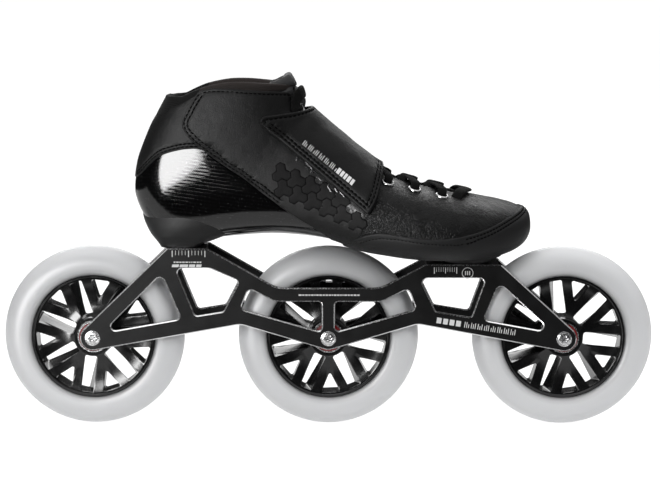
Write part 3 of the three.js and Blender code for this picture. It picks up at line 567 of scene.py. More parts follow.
OUTLINE = [
    *frame_end(-162.5, -79.7, -225.8),
    (-110.6, 125, 1), (-83.1, 125, 1.5), (-35.6, 97.8, 20), (35.6, 97.8, 20), (66.5, 114.2, 2.5), (118.5, 114.2, 2.5),
    *frame_end(162.5, 47.7, -100.6),
    (61.5, 72.6, 12), (0, 54.2, END_R), (-60.5, 72.2, 12),
]
WINDOWS = [
    [(-155.4, 66.2, 3), (-114.6, 107.2, 3.4), (-101.2, 76, 3)],
    [(-105, 111.2, 3.2), (-81.4, 111.2, 9), (-61.2, 102.2, 2.6), (-72.2, 81.2, 2.6), (-91.6, 78, 2.6)],
    [(-60.4, 82.9, 3.2), (-54.9, 97.4, 3.2), (-36.6, 88.2, 14), (-4.5, 88.2, 2.6), (-4.5, 67, 2.6)],
    [(4.5, 67, 2.6), (4.5, 88.2, 2.6), (36.6, 88.2, 14), (54.9, 97.4, 3.2), (60.4, 82.9, 3.2)],
    [(62.6, 104.6, 3.6), (108, 104.6, 3), (98.4, 77.4, 2.6), (74, 81.4, 2.6)],
    [(106.9, 75.6, 2.8), (117.2, 101.4, 3.6), (154.5, 66.9, 3)],
]
# Name, first and last x, top, bolt's x and the bolt's end, for each deck between the plates.
DECKS = ("rear", -110.2, -84.0, 125.0, -97.5, 132.4), ("front", 67.6, 117.4, 114.2, 97.5, 121.8)
DECK_THICK = 5.6


def bar(x, z, length, height, angle=0.0, lean=0.0):
    """Corners of a bar of print whose lower left corner is at (x, z)."""
    c, s = math.cos(angle), math.sin(angle)
    corners = [(0, 0), (length, 0), (length + lean, height), (lean, height)]
    return [(x + a * c - b * s, z + a * s + b * c) for a, b in corners]


def print_bars(name, bars):
    """Bars of print, standing just proud of the frame's outer face."""
    points, faces = [], []
    for quad in bars:
        k = len(points)
        points += [(x, y, z) for y in (PRINT_Y, PRINT_Y + 0.05) for x, z in quad]
        faces += [(k, k + 1, k + 2, k + 3), (k + 7, k + 6, k + 5, k + 4)]
        faces += [(k + i, k + 4 + i, k + 4 + (i + 1) % 4, k + (i + 1) % 4) for i in range(4)]
    return tidy(mesh_object(name, points, faces, ["print"], smooth=False))


def random_bars(first, last, z, low, high, tall, offset=0):
    """A line of bars of uneven length."""
    bars, x = [], first
    while x < last:
        w = random.uniform(low, high)
        bars.append(bar(x + offset, z, w, tall))
        x += w + 0.55
    return bars


def frame_bars():
    bars = []
    for first, last, top in ((-107.0, -84.6, 123.6), (72.6, 87.9, 112.4)):
        for i in range(11):
            w, tall = (0.62, 4.4) if i % 5 == 0 else (0.3, 4.4 * 0.72)
            bars.append(bar(first + (last - first) * i / 10 - w / 2, top - tall, w, tall))
    random.seed(3)
    bars += random_bars(-106.0, -87, 115.1, 0.9, 2.2, 0.9)
    bars += [bar(-107.4 + x, 112.1, w, 1.9, lean=0.5) for x, w in ((0, 4.6), (5.3, 5.6), (11.6, 4.2), (16.5, 3.6))]
    bars += random_bars(-21.4, 19.5, 92.4, 0.7, 2.0, 1.0, offset=1)
    angle, run_along = math.radians(-9.0), 0.0
    row = [(3.3, 4.0, 4.5)] * 4 + [(0.5, (4.0, 4.0, 2.6, 4.0, 3.2)[i % 5], (1.35, 1.35, 1.9)[i % 3]) for i in range(24)]
    for i, (w, tall, pitch) in enumerate(row):
        run_along += 1.4 if i == 4 else 0
        bars.append(bar(74.2 + run_along * math.cos(angle), 73.6 + run_along * math.sin(angle), w, tall, angle))
        run_along += pitch
    return bars


def build_frame():
    outline = fillet(OUTLINE, 8)
    turns = np.linspace(0, 2 * np.pi, 48, False)
    holes = [fillet(w, 6) for w in WINDOWS]
    holes += [[(x + 4.45 * math.cos(a), AXLE_Z + 4.45 * math.sin(a)) for a in turns] for x, _ in WHEELS.values()]
    near, far = PLATE
    parts = [flat_solid(f"plate_{word}", outline, holes, *sorted((near * side, far * side)), 0.75, ["anodised", "bare"])
             for side, word in SIDES]
    end = [(7.5 + 3.4 * math.cos(a), 3.4 * math.sin(a)) for a in np.linspace(-np.pi / 2, np.pi / 2, 12)]
    for _, x0, x1, top, bolt_x, _ in DECKS:
        deck = box_part("deck", (x0, -13.6, top - DECK_THICK), (x1, 13.6, top), "anodised", 0.4)
        slot = [(bolt_x + x * sign, y * sign) for sign in (1, -1) for x, y in end]
        rings = [np.array([(x, y, z) for x, y in slot]) for z in (90.0, 140.0)]
        cut_away(deck, rings_object("cutter", rings, "anodised"))
        parts.append(deck)
    for x, _ in WHEELS.values():
        for side, _ in SIDES:
            boss = [(4.3, 12.3), (5.6, 12.3), (6.0, 12.6), (7.2, 13.4), (4.3, 13.4)]
            parts.append(lathe("boss", [(r, y * side) for r, y in boss], ["anodised"], (x, 0, AXLE_Z), 48))
    place(joined("frame_machined", parts), FIXED, "anodised", "frame")

    ring = [(3.5, PRINT_Y), (3.9, PRINT_Y), (3.9, -PLATE[1]), (3.5, -PLATE[1])]
    marks = [print_bars("frame_print", frame_bars()), lathe("badge", ring, ["print"], (95.4, 0, 108.4), 48),
             print_bars("badge_bars", [bar(x, 107.0, 0.7, 2.8) for x in (93.6, 95.0, 96.4)])]
    place(joined("frame_print", marks), FIXED)

    for name, _, _, top, x, end in DECKS:
        under = top - DECK_THICK
        low = under - 1.5
        end -= 0.6
        bolt = [(0.05, low - 2.0), (2.3, low - 2.0, 0.12), (2.5, low - 3.8, 0.12), (4.4, low - 3.8), (5.0, low - 3.3),
                (5.0, low - 0.3), (3.0, low - 0.3), (3.0, end), (0.05, end)]
        washer = [(3.2, low), (6.2, low), (6.2, under - 0.3), (3.2, under - 0.3)]
        insert = [(3.1, top + 0.3), (4.4, top + 0.3), (4.4, end), (3.1, end)]
        for word, profile, node in (("bolt", bolt, "boot_bolt"), ("washer", washer, "bolt_washer"),
                                    ("insert", insert, "threaded_insert")):
            rows = [circle(r, z, 60, star=sum(star))[:, [0, 2, 1]] + (x, 0, 0) for r, z, *star in profile]
            o = rings_object(f"{name}_{word}", rows, "steel", close=word != "bolt", sharp=30)
            place(o, FIXED, "steel", f"{name}_{node}")


# ---------------------------------------------------------------- boot form
# One row per rib: ridge x, z; keel x, z; half width; centre y; height of the widest point;
# fullness of the lower and upper arcs; bow out of its plane.
STATIONS = np.array([
    (139.4, 141, 139.4, 141, 0, 9, 0.45, 2.4, 2, 0),
    (138, 147.6, 138.2, 133.6, 15, 9, 0.45, 2.4, 2, 0),
    (134, 151.6, 133.8, 127.4, 25.5, 8.5, 0.44, 2.5, 2, 0),
    (126, 155.2, 125.4, 122.6, 34, 7.4, 0.42, 2.6, 2.05, 0),
    (114, 158.4, 113, 119.4, 41, 5.4, 0.4, 2.8, 2.1, 0),
    (98, 161.4, 96, 118, 45.3, 2.6, 0.38, 3, 2.1, 0),
    (80, 165.2, 78, 117.8, 47.4, 0.6, 0.37, 3, 2.1, 0),
    (62, 169.4, 60, 118.6, 47, -0.9, 0.37, 3, 2.1, 0),
    (46, 174, 42, 120.6, 44.6, -1.6, 0.38, 2.9, 2.1, 0),
    (32, 179.8, 24, 123.4, 41.2, -1.6, 0.4, 2.7, 2.1, 0),
    (20, 188.8, 6, 127.8, 38, -1, 0.42, 2.5, 2.1, 0),
    (8, 198.4, -14, 131, 35.6, -0.4, 0.44, 2.4, 2.1, 0),
    (-3, 207.2, -38, 132.4, 34.4, 0, 0.45, 2.4, 2.15, 0),
    (-10, 213, -62, 131, 33.8, 0, 0.46, 2.4, 2.2, 0),
    (-13.5, 216.5, -84, 128.6, 33.6, 0, 0.47, 2.4, 2.2, 0),
    (-15.5, 219, -102, 128, 33.4, 0, 0.48, 2.4, 2.25, 0),
    (-17, 221.3, -115.6, 132.6, 33.2, 0, 0.49, 2.4, 2.3, 0),
    (-18.2, 223.6, -124.8, 142.6, 33, 0, 0.5, 2.4, 2.3, 0),
    (-19.2, 225.8, -131, 154, 32.6, 0, 0.5, 2.4, 2.3, 0),
    (-20, 228, -133.8, 165.4, 32.2, 0, 0.5, 2.4, 2.3, 0.4),
    (-20.7, 230.2, -133.4, 177, 31.8, 0, 0.5, 2.4, 2.3, 1.2),
    (-21.3, 232.2, -130.6, 188.5, 31.2, 0, 0.5, 2.4, 2.3, 2.6),
    (-21.8, 234, -126.3, 200.4, 30.2, 0, 0.5, 2.4, 2.3, 4.4),
    (-22.2, 235.6, -120.6, 212.6, 29, 0, 0.5, 2.4, 2.3, 6.2),
    (-22.5, 237, -112.8, 225, 27.6, 0, 0.5, 2.4, 2.3, 8),
    (-27.3, 245.4, -106, 237, 27, 0, 0.5, 2.4, 2.3, 9),
], float)
LAST = 25
S_SCALE, W_SCALE = 10.0, 235.0


def catmull_rom(a, b, c, d, t):
    return 0.5 * (2 * b + (c - a) * t + (2 * a - 5 * b + 4 * c - d) * t * t + (3 * b - a - 3 * c + d) * t ** 3)


def unit(v):
    return v / np.maximum(np.linalg.norm(v, axis=-1, keepdims=True), 1e-9)


def along(s):
    """The rib's row at s, between whole ribs too."""
    s = np.clip(s, 0.0, LAST - 0.0001)
    i = np.floor(s).astype(int)
    return catmull_rom(*[STATIONS[np.clip(i + k, 0, LAST)] for k in (-1, 0, 1, 2)], (s - i)[..., None])


def surface(s, w):
    """The boot's form. w is 0 at the ridge, 0.5 at the keel down the outer side and -0.5 down the inner side."""
    s, w = np.broadcast_arrays(np.asarray(s, float), np.asarray(w, float))
    w = (w + 0.5) % 1.0 - 0.5
    v = along(s)
    rx, rz, kx, kz, half, y0, wide, low, high, bow = [v[..., i] for i in range(10)]
    t = np.abs(w) * 2
    upper = t <= 0.5
    power = 2 / np.where(upper, high, low)
    angle = np.pi * np.where(upper, t, 1 - t)
    across = np.clip(np.sin(angle), 0, None) ** power
    up = np.clip(np.cos(angle), 0, None) ** power
    h = np.where(upper, wide + (1 - wide) * up, wide * (1 - up))
    dx, dz = rx - kx, rz - kz
    length = np.hypot(dx, dz)
    b = bow * 4 * h * (1 - h) / np.where(length == 0, 1, length)
    y = y0 - np.maximum(half, 0) * across * np.sign(w)
    return np.stack([kx + dx * h - dz * b, y, kz + dz * h + dx * b], -1)


def jacobian(s, w):
    s0, s1 = np.clip(s - 0.03, 0.02, 24.9), np.clip(s + 0.03, 0.08, 24.99)
    ds = (surface(s1, w) - surface(s0, w)) / (s1 - s0)[..., None]
    dw = (surface(s, w + 0.005) - surface(s, w - 0.005)) / 0.01
    return ds, dw


def normal(s, w):
    s, w = np.broadcast_arrays(np.asarray(s, float), np.asarray(w, float))
    ss = np.maximum(s, 0.25)
    ds, dw = jacobian(ss, w)
    n = unit(np.cross(dw, ds))
    v = along(ss)
    centre = np.stack([(v[..., 0] + v[..., 2]) / 2, v[..., 5], (v[..., 1] + v[..., 3]) / 2], -1)
    flip = np.sign(np.sum(n * (surface(ss, w) - centre), -1, keepdims=True))
    n = n * np.where(flip == 0, 1, flip)
    tip = np.clip((0.9 - s) / 0.9, 0, 1)[..., None] ** 2
    return unit(n * (1 - tip) + np.array([1.0, 0, 0]) * tip)


def lifted(s, w, h):
    return surface(s, w) + normal(s, w) * np.asarray(h, float)[..., None]


GRID_S = np.arange(0.1, 25, 0.05)
GRID_W = np.linspace(0.0, 0.5, 121)
GRID = surface(GRID_S[:, None], GRID_W[None, :])[..., [0, 2]]


def on_boot(points, side=LATERAL):
    """(s, w) of side-view points (x, z) in millimetres, on that side."""
    out = []
    for x, z in points:
        far = (GRID[..., 0] - x) ** 2 + (GRID[..., 1] - z) ** 2
        i, j = np.unravel_index(np.argmin(far), far.shape)
        s, w = GRID_S[i], GRID_W[j]
        for _ in range(6):
            p = surface(s, w)[[0, 2]]
            e = np.array([x, z]) - p
            a = (surface(s + 0.01, w)[[0, 2]] - p) / 0.01
            b = (surface(s, min(w + 0.001, 0.5))[[0, 2]] - surface(s, max(w - 0.001, 0))[[0, 2]]) / 0.002
            m = np.stack([a, b], 1)
            if abs(np.linalg.det(m)) < 1:
                break
            d = np.clip(np.linalg.solve(m, e), [-0.3, -0.02], [0.3, 0.02])
            s, w = float(np.clip(s + d[0], 0.05, 24.98)), float(np.clip(w + d[1], 0.0, 0.5))
        out.append((s, w * side))
    return np.array(out)


def spline(points, step=1.5, smooth=True):
    """A polyline or Catmull-Rom curve through points, resampled at about step."""
    p = np.array(points, float)
    if smooth and len(p) > 2:
        q = np.vstack([2 * p[0] - p[1], p, 2 * p[-1] - p[-2]])
        dense = []
        for a, b, c, d in zip(q, q[1:], q[2:], q[3:]):
            dense += [catmull_rom(a, b, c, d, t) for t in np.linspace(0, 1, 12, False)]
        p = np.vstack([dense, p[-1]])
    length = np.concatenate([[0], np.cumsum(np.linalg.norm(np.diff(p, axis=0), axis=1))])
    n = max(2, int(round(length[-1] / step)) + 1)
    t = np.linspace(0, length[-1], n)
    return np.stack([np.interp(t, length, p[:, k]) for k in range(p.shape[1])], 1)


def run(points, side=LATERAL, kind="edge", smooth=True, wrap=False, step=1.5):
    """A boundary run from side-view points. wrap turns the inner side's w into 1 + w."""
    su = on_boot(spline(points, step, smooth), side)
    if wrap and side < 0:
        su[:, 1] += 1
    return kind, su


def straight(a, b, kind="edge", step=1.5):
    """A boundary run straight in (s, w) from a to b."""
    a, b = np.array(a, float), np.array(b, float)
    q = a + (b - a) * np.linspace(0, 1, 40)[:, None]
    length = np.sum(np.linalg.norm(np.diff(surface(*q.T), axis=0), axis=1))
    n = max(2, int(round(length / step)) + 1)
    return kind, a + (b - a) * np.linspace(0, 1, n)[:, None]


def inside(poly, pts):
    """Whether each point lies inside the loop."""
    x, y = pts.T
    hit = np.zeros(len(pts), bool)
    x0, y0 = poly[-1]
    for x1, y1 in poly:
        if y0 != y1:
            cross = ((y1 > y) != (y0 > y)) & (x < (x0 - x1) * (y - y1) / (y0 - y1) + x1)
            hit ^= cross
        x0, y0 = x1, y1
    return hit


def inset(su, d, closed=False, flip=1, into=None):
    """(s, w) points moved sideways over the surface by d; into is an outline to move into."""
    if into is not None:
        flip = 1 if np.mean(inside(into, inset(su, 0.8, closed))) > 0.5 else -1
    p = surface(*su.T)
    t = unit(np.roll(p, -1, 0) - np.roll(p, 1, 0) if closed else np.gradient(p, axis=0))
    side = unit(np.cross(normal(*su.T), t) * flip)
    ds, dw = jacobian(np.maximum(su[:, 0], 0.1), su[:, 1])
    a, b, c = np.sum(ds * ds, 1), np.sum(ds * dw, 1), np.sum(dw * dw, 1)
    e, f = np.sum(ds * side, 1), np.sum(dw * side, 1)
    det = np.maximum(a * c - b * b, 1e-6)
    move = np.stack([(c * e - b * f) / det, (a * f - b * e) / det], 1) * d
    return su + np.clip(move, [-1.5, -0.08], [1.5, 0.08])


def tree_of(points):
    tree = kdtree.KDTree(len(points))
    for i, p in enumerate(points):
        tree.insert(p, i)
    tree.balance()
    return tree


def between(a, b, *last):
    """Points at the start and the quarters of each stretch from a to b."""
    return np.concatenate([a * (1 - t) + b * t for t in (0, 0.25, 0.5, 0.75)] + list(last))


def nearest(tree, points):
    return np.array([tree.find(p)[2] for p in points])


def wobble(p, amount, seed=0, size=26.0):
    """Slow unevenness of a skin at points p."""
    return np.array([noise.fractal(Vector(q / size) + Vector((seed, 0, 0)), 0.7, 2.0, 3) for q in p]) * amount


def outline_of(runs, weld=False):
    """One closed (s, w) outline from runs, and the kind of each point."""
    su, kinds = [], []
    apart = lambda a, b: np.linalg.norm(surface(*a) - surface(*b)) >= 0.4
    for kind, pts in runs:
        pts = pts if not su or apart(pts[0], su[-1]) else pts[1:]
        su += list(pts)
        kinds += [kind] * len(pts)
    if not apart(su[0], su[-1]) and not weld:
        su, kinds = su[:-1], kinds[:-1]
    return np.array(su), kinds


def panel(name, runs, lift, thick, material, edge=0.9, creases=(), rumple=0.12, size=2.4, bulge=None, mask=None,
          weld=False, seed=0):
    """A closed sheet on the boot's form. Its outer face is lift above the form and rolls over at its edges.
    lift is a number or a function of (s, w). creases are (line, depth, half width). A welded sheet closes round w."""
    su, kinds = outline_of(runs, weld)
    n = len(su)
    flip = 1 if np.mean(inside(su, inset(su, 1.0, True))) > 0.5 else -1
    edge_line = surface(*su.T)
    is_edge = np.array([k == "edge" for k in kinds])
    real = np.flatnonzero(is_edge & np.roll(is_edge, -1))
    edge_tree = tree_of(between(edge_line[real], np.roll(edge_line, -1, 0)[real])) if len(real) else None
    all_tree = tree_of(edge_line)
    within = lambda q, gap: q[nearest(all_tree, surface(*q.T)) > gap]
    points = []
    for d in (0.25 * edge, 0.6 * edge, 1.1 * edge, 2.0 * edge):
        q = inset(su, d, True, flip)[is_edge]
        q = q[inside(su, q)]
        if len(q):
            points.append(within(q, d * 0.85))
    # a grid of points in staggered rows fills the rest
    (s0, w0), (s1, w1) = su.min(0), su.max(0)
    g = np.stack(np.meshgrid(np.arange(s0, s1, size / 11.0), np.arange(w0, w1, size / 260.0), indexing="ij"), -1)
    g[1::2, :, 1] += size / 520.0
    g = g.reshape(-1, 2)
    g = within(g[inside(su, g)], max(2.0 * edge + 0.7, 1.3))
    lines = []
    for line, depth, half in creases:
        tree = tree_of(between(surface(*line[:-1].T), surface(*line[1:].T), surface(*line[-1:].T)))
        lines.append((tree, depth, half))
        for off in (0.0, half * 0.6, -half * 0.6, half * 1.5, -half * 1.5):
            q = inset(line, off) if off else line
            q = q[inside(su, q)]
            if len(q):
                points.append(within(q, 0.5))
        g = g[nearest(tree, surface(*g.T)) > half * 1.5 + 0.8]
    both = np.concatenate([su, *points, g])
    flat = both * np.array([S_SCALE, W_SCALE])
    verts, _, tris, *_ = geometry.delaunay_2d_cdt([Vector(p) for p in flat], [], [list(range(n))], 1, 1e-4)
    q = np.array([(v.x / S_SCALE, v.y / W_SCALE) for v in verts])
    k = len(q)
    base, nrm = surface(*q.T), normal(*q.T)
    h = lift(*q.T) if callable(lift) else np.full(k, float(lift))
    d = np.maximum((nearest(edge_tree, base) if edge_tree else np.full(k, 99.0)) - 0.02, 0)
    roll = np.where(d < edge, edge - np.sqrt(np.maximum(edge ** 2 - (edge - np.minimum(d, edge)) ** 2, 0)), 0)
    top = h - roll
    for tree, depth, half in lines:
        top = top - depth * np.exp(-(nearest(tree, base) / half) ** 2)
    if bulge:
        top = top + bulge(*q.T, d)
    top = top + wobble(base, rumple, seed) * np.clip(d / 4, 0.2, 1)
    outer = base + nrm * top[:, None]
    under = base + nrm * np.minimum(h - thick, top - 0.15)[:, None]
    faces = []
    for a, b, c in (t[:3] for t in tris):
        if np.dot(np.cross(outer[b] - outer[a], outer[c] - outer[a]), nrm[a]) < 0:
            b, c = c, b
        faces += [(a, b, c), (a + k, c + k, b + k)]
    sides = {e: None for t in faces[::2] for e in zip(t, t[1:] + t[:1])}
    on_seam = lambda p: min(p[1] % 1.0, 1 - p[1] % 1.0) < 1e-5
    at_tip = lambda p: p[0] < 1e-4
    for a, b in sides:
        if (b, a) in sides or weld and any(end(q[a]) and end(q[b]) for end in (on_seam, at_tip)):
            continue
        faces.append((b, a, a + k, b + k))
    uv = np.stack([base[:, 0] * 0.8 + base[:, 2] * 0.6, base[:, 2] * 0.8 - base[:, 0] * 0.6 + base[:, 1] * 0.35], 1)
    o = mesh_object(name, np.concatenate([outer, under]), faces, [material], uv=np.tile(uv, (2, 1)))
    if mask:
        wet = o.data.attributes.new("wet", "FLOAT", "POINT")
        wet.data.foreach_set("value", np.tile(mask(base), 2).astype(np.float32))
    if weld:
        tidy(o)
    o.data.set_sharp_from_angle(angle=math.radians(50))
    return o


def skin(lift, rumple, seed=0, d=4.0):
    """Height of a panel's face at d from its edge, as a function of (s, w)."""
    return lambda s, w: ((lift(s, w) if callable(lift) else lift)
                         + wobble(surface(s, w), rumple, seed) * min(max(d / 4, 0.2), 1.0))


def capsule():
    a = np.arange(8) * 2 * np.pi / 8
    outline = (-1, 0.15), (-0.93, 0.6), (-0.75, 0.92), (-0.3, 1.06), (0.3, 1.06), (0.75, 0.92), (0.93, 0.6), (1, 0.15)
    return rows_mesh([np.stack([np.full(8, x), r * np.cos(a), r * np.sin(a)], 1) for x, r in outline], capped=True)


def stitches(name, rows, pitch=3.0, radius=0.4, gap=1.0):
    """rows are (line in (s, w), height over the form). One mesh of thread, a short capsule to each stitch."""
    sink = 0.2
    tp, tf = capsule()
    points, faces = [], []
    for line, height in rows:
        p, nr = lifted(*line.T, height(*line.T)), normal(*line.T)
        length = np.concatenate([[0], np.cumsum(np.linalg.norm(np.diff(p, axis=0), axis=1))])
        n = max(1, int(length[-1] / pitch))
        real = length[-1] / n
        for i in range(n):
            a, b = i * real + gap / 2, (i + 1) * real - gap / 2
            pa, pb, nm = [np.array([np.interp(t, length, q[:, k]) for k in range(3)])
                          for t, q in ((a, p), (b, p), ((a + b) / 2, nr))]
            ax = pb - pa
            half = np.linalg.norm(ax) / 2
            if half < 0.2:
                continue
            ax /= half * 2
            nm = nm / np.linalg.norm(nm)
            side = np.cross(nm, ax)
            x = tp[:, :1]
            arch = 0.16 * (1 - x ** 2)
            rise = tp[:, 2:] * radius * 0.8 + arch - sink
            q = (pa + pb) / 2 + x * half * ax + (tp[:, 1:2] * radius) * side + rise * nm
            faces += [tuple(v + len(points) * len(tp) for v in f) for f in tf]
            points.append(q)
    return mesh_object(name, np.concatenate(points), faces, ["thread"])


# ---------------------------------------------------------------- boot panels
QUARTER_REAR = [(-88.2, 232.4), (-92.4, 226.2), (-95.8, 219.6), (-98.2, 214.9), (-98.8, 210.3), (-97, 205.6),
                (-93.1, 201.1), (-85.7, 194.7), (-69.2, 182.7), (-57.3, 175.0), (-45.3, 165.6), (-38.4, 160.4),
                (-25, 150.3), (-7.4, 139.1), (1.5, 132.6)]
COUNTER_LOW = [(-74, 190), (-80, 193.0), (-88.6, 194.6), (-97.6, 194.2), (-103.7, 193.0), (-108.0, 191.9),
               (-112.8, 190.2), (-116.5, 188.0), (-120.2, 184.9), (-124.7, 180.5), (-128.4, 176.7), (-131.6, 174.0)]
COUNTER_TOP = [(-82.5, 234.0), (-88.5, 232.0), (-94.5, 228.2), (-101, 224.6), (-107, 222.6), (-113.2, 221.8)]
RAND_TOP = [(133.6, 152.2), (127, 149.3), (120.5, 146.8), (105.3, 140.9), (89.9, 137.1), (74.6, 135.6), (59.2, 136.4),
            (43.8, 138.6), (32.3, 139.2), (20.9, 136), (9.8, 129.4)]
STRAP_FRONT = [(27.2, 151.6), (31.4, 158.2), (33.8, 164.6), (35.4, 173), (35.8, 179)]
HEEL_ROWS = [(125.2, -115.6, -88.3, 15.8, 0.55), (127.5, -117.2, -85.5, 17.8, 0.64), (130, -119.3, -78, 20.0, 0.72),
             (133, -121.9, -70, 22.5, 0.8), (136, -123.9, -62, 24.1, 0.86), (139.5, -125.7, -56, 25.4, 0.92),
             (143.2, -127.2, -50, 26.3, 0.97), (147, -128.1, -46, 26.8, 1.0), (151, -128.4, -46, 26.4, 1.0),
             (155, -127.4, -48, 25.4, 1.0)]
BALL_ROWS = [(114.4, 81.5, 110.6, 15, 0.45), (116.4, 77.5, 112.2, 18, 0.45), (118.6, 70, 115.4, 23, 0.45),
             (121, 64, 119, 29, 0.45), (124, 64, 119, 29, 0.45)]
EYELETS = [(77.2, 162.7), (58.6, 167.2), (40.2, 171.8), (15, 188), (-19.6, 220.2)]
# heights of the outer faces above the boot's form, and how the quarters and the strap are rumpled
QUARTER, COUNTER, VAMP, RAND = 0.35, -0.55, -0.35, 0.85
QUARTER_RUMPLE, OUTER_SEED, INNER_SEED = 0.35, 5, 9
STRAP_RUMPLE, STRAP_SEED = 0.5, 33


def ridge_w(s, width):
    """w of the line that stays width millimetres to the outer side of the ridge."""
    v = along(np.asarray(s, float))
    return np.arcsin(np.clip(width / np.maximum(v[..., 4], width + 0.1), 0, 0.99) ** (v[..., 8] / 2)) / (2 * np.pi)


def ridge_run(s0, s1, width, side, kind="edge", step=1.5):
    s = np.linspace(s0, s1, max(3, int(abs(s1 - s0) * 13 / step)))
    q = np.stack([s, side * ridge_w(s, width if np.isscalar(width) else np.interp(s, *width))], 1)
    return kind, q


def s_at_ridge(x):
    s = np.linspace(0.5, 24.9, 2000)
    return float(np.interp(-x, -surface(s, 0.0)[:, 0], s))


def back(r):
    """The same run the other way."""
    return r[0], r[1][::-1]


def strap_lift(w):
    """Height of the strap's underside: it bridges the slot and the laces."""
    w = (np.asarray(w) + 0.5) % 1.0 - 0.5
    return 1.05 + 2.75 * np.exp(-(np.abs(w) / 0.13) ** 2)


STRAP_THICK = 1.9


def build_boot():
    """The leather and carbon of the boot. Returns the stitches of its seams."""
    # carbon shell: one cup under the leather, closed below
    top = [(1.2, 0.33), (5, 0.36), (8.5, 0.33), (10.5, 0.27), (12.5, 0.21), (15, 0.17), (18, 0.17), (19.8, 0.22),
           (21.2, 0.30)]
    low = [(s, 1 - w) for s, w in top[::-1]]
    cup = [("hidden", spline(top, 0.12)), straight(top[-1], low[0], "hidden", 3), ("hidden", spline(low, 0.12)),
           straight(low[-1], top[0], "hidden", 3)]

    def cup_lift(s, w):
        aside = np.abs((w + 0.5) % 1.0 - 0.5)
        below = np.clip((aside - 0.34) / 0.12, 0, 1)
        return -1.75 + 1.45 * below * np.clip((20.2 - s) / 1.5, 0, 1) * np.clip((s - 14) / 2.5, 0, 1)

    shell = panel("carbon_cup", cup, cup_lift, 1.7, "carbon", edge=0.5, rumple=0.05, size=2.6)
    heel = base_block("heel_block", HEEL_ROWS, "rand")
    place(joined("carbon_cup", [shell, heel]), FIXED, "carbon", "carbon_shell")
    place(base_block("ball_block", BALL_ROWS, "rand"), FIXED, "rand")

    # heel counter: wraps the back of the heel
    front = [(-82.5, 234.0), (-88, 224), (-91.5, 214), (-91, 207), (-84, 199), (-74, 190)]
    runs = [run(front, LATERAL, "hidden"), run(COUNTER_LOW, LATERAL), back(run(COUNTER_LOW, MEDIAL, wrap=True)),
            back(run(front, MEDIAL, "hidden", wrap=True)), run(COUNTER_TOP, MEDIAL, wrap=True),
            back(run(COUNTER_TOP, LATERAL))]
    area = outline_of(runs)[0]
    lows = runs[1][1], run(COUNTER_LOW, MEDIAL, wrap=True)[1]
    rows = [(inset(low, d, into=area), skin(COUNTER, 0.3, 2, d)) for low in lows for d in (1.6, 3.5)]
    counter = panel("counter", runs, COUNTER, 1.2, "leather", edge=0.9, rumple=0.3, seed=2,
                       creases=[(line, 0.45, 0.5) for line, _ in rows])
    thread = [stitches("counter_thread", rows)]

    # quarters: one to each side, over the counter
    quarters = {}
    for side, word in ((LATERAL, "outer"), (MEDIAL, "inner")):
        rear = run(QUARTER_REAR, side)
        fore = run([(13, 128), (21, 137), (24, 152), (27, 167), (30, 176)], side, "hidden")
        stay = ridge_run(s_at_ridge(27), 23.0, 8.5, side)
        top = run([(-24.6, 226.5), (-26.2, 231.6), (-32, 232.6), (-41.5, 233.1), (-54, 234.0), (-66, 234.9),
                   (-78.3, 235.1), (-85, 234.0)], side)
        runs = [rear, straight(rear[1][-1], fore[1][0], "hidden"), fore,
                straight(fore[1][-1], stay[1][0], "hidden"), stay, top]
        area = outline_of(runs)[0]
        keep = rear[1][:int(len(rear[1]) * 0.72)]
        seed = OUTER_SEED if side > 0 else INNER_SEED
        sewn = (keep, 1.7), (keep, 4.0), (stay[1], 1.9), (top[1], 2.2)
        rows = [(inset(line, d, into=area), skin(QUARTER, QUARTER_RUMPLE, seed, d)) for line, d in sewn]
        q = panel(f"quarter_{word}", runs, QUARTER, 1.3, "quarter", edge=0.8, rumple=QUARTER_RUMPLE, size=2.1,
                     creases=[(line, 0.45, 0.5) for line, _ in rows[:2]] + [(rows[3][0], 0.25, 0.5)],
                     seed=seed, mask=gloss_mask if side > 0 else (lambda p: np.zeros(len(p))))
        quarters[word] = q
        thread.append(stitches(f"quarter_{word}_thread", rows))
    place(counter, FIXED, "leather", "heel_counter")
    place(quarters["outer"], FIXED, "leather", "quarter_outer_side")
    place(quarters["inner"], FIXED, "leather", "quarter_inner_side")

    # vamp, slotted from the instep to behind the toes
    under = [(20, 131), (34, 134), (50, 132.5), (74, 131), (90, 132), (108, 136.5), (122, 142.5), (131, 146.5)]
    tail = [(27, 181), (24, 168), (20, 150), (18, 136)]
    nose = s_at_ridge(88)
    arc = [(nose - 0.55 * math.sin(t), float(ridge_w(nose, 8.0)) * math.cos(t)) for t in np.linspace(0, math.pi, 15)]
    stay = ridge_run(s_at_ridge(27), nose, 8.0, LATERAL)
    stay_in = ridge_run(nose, s_at_ridge(27), 8.0, MEDIAL)
    toe = np.array([(2.25, 0.12), (1.75, 0.06), (1.6, 0.0), (1.75, -0.06), (2.25, -0.12)])
    low_out, low_in = run(under, LATERAL, "hidden"), run(under, MEDIAL, "hidden")
    runs = [stay, ("edge", np.array(arc)), stay_in, run(tail, MEDIAL, "hidden"), low_in,
            ("hidden", spline(toe[::-1], 0.02)), back(low_out), back(run(tail, LATERAL, "hidden"))]
    vamp = panel("vamp_leather", runs, VAMP, 1.3, "vamp", edge=0.8, rumple=0.45, seed=12)
    area = outline_of(runs)[0]
    rows = [(inset(line[1], 1.9, into=area), skin(VAMP, 0.45, 12, 1.9)) for line in (stay, stay_in)]
    thread.append(stitches("vamp_thread", rows, radius=0.34))
    place(vamp, FIXED, "leather", "vamp")

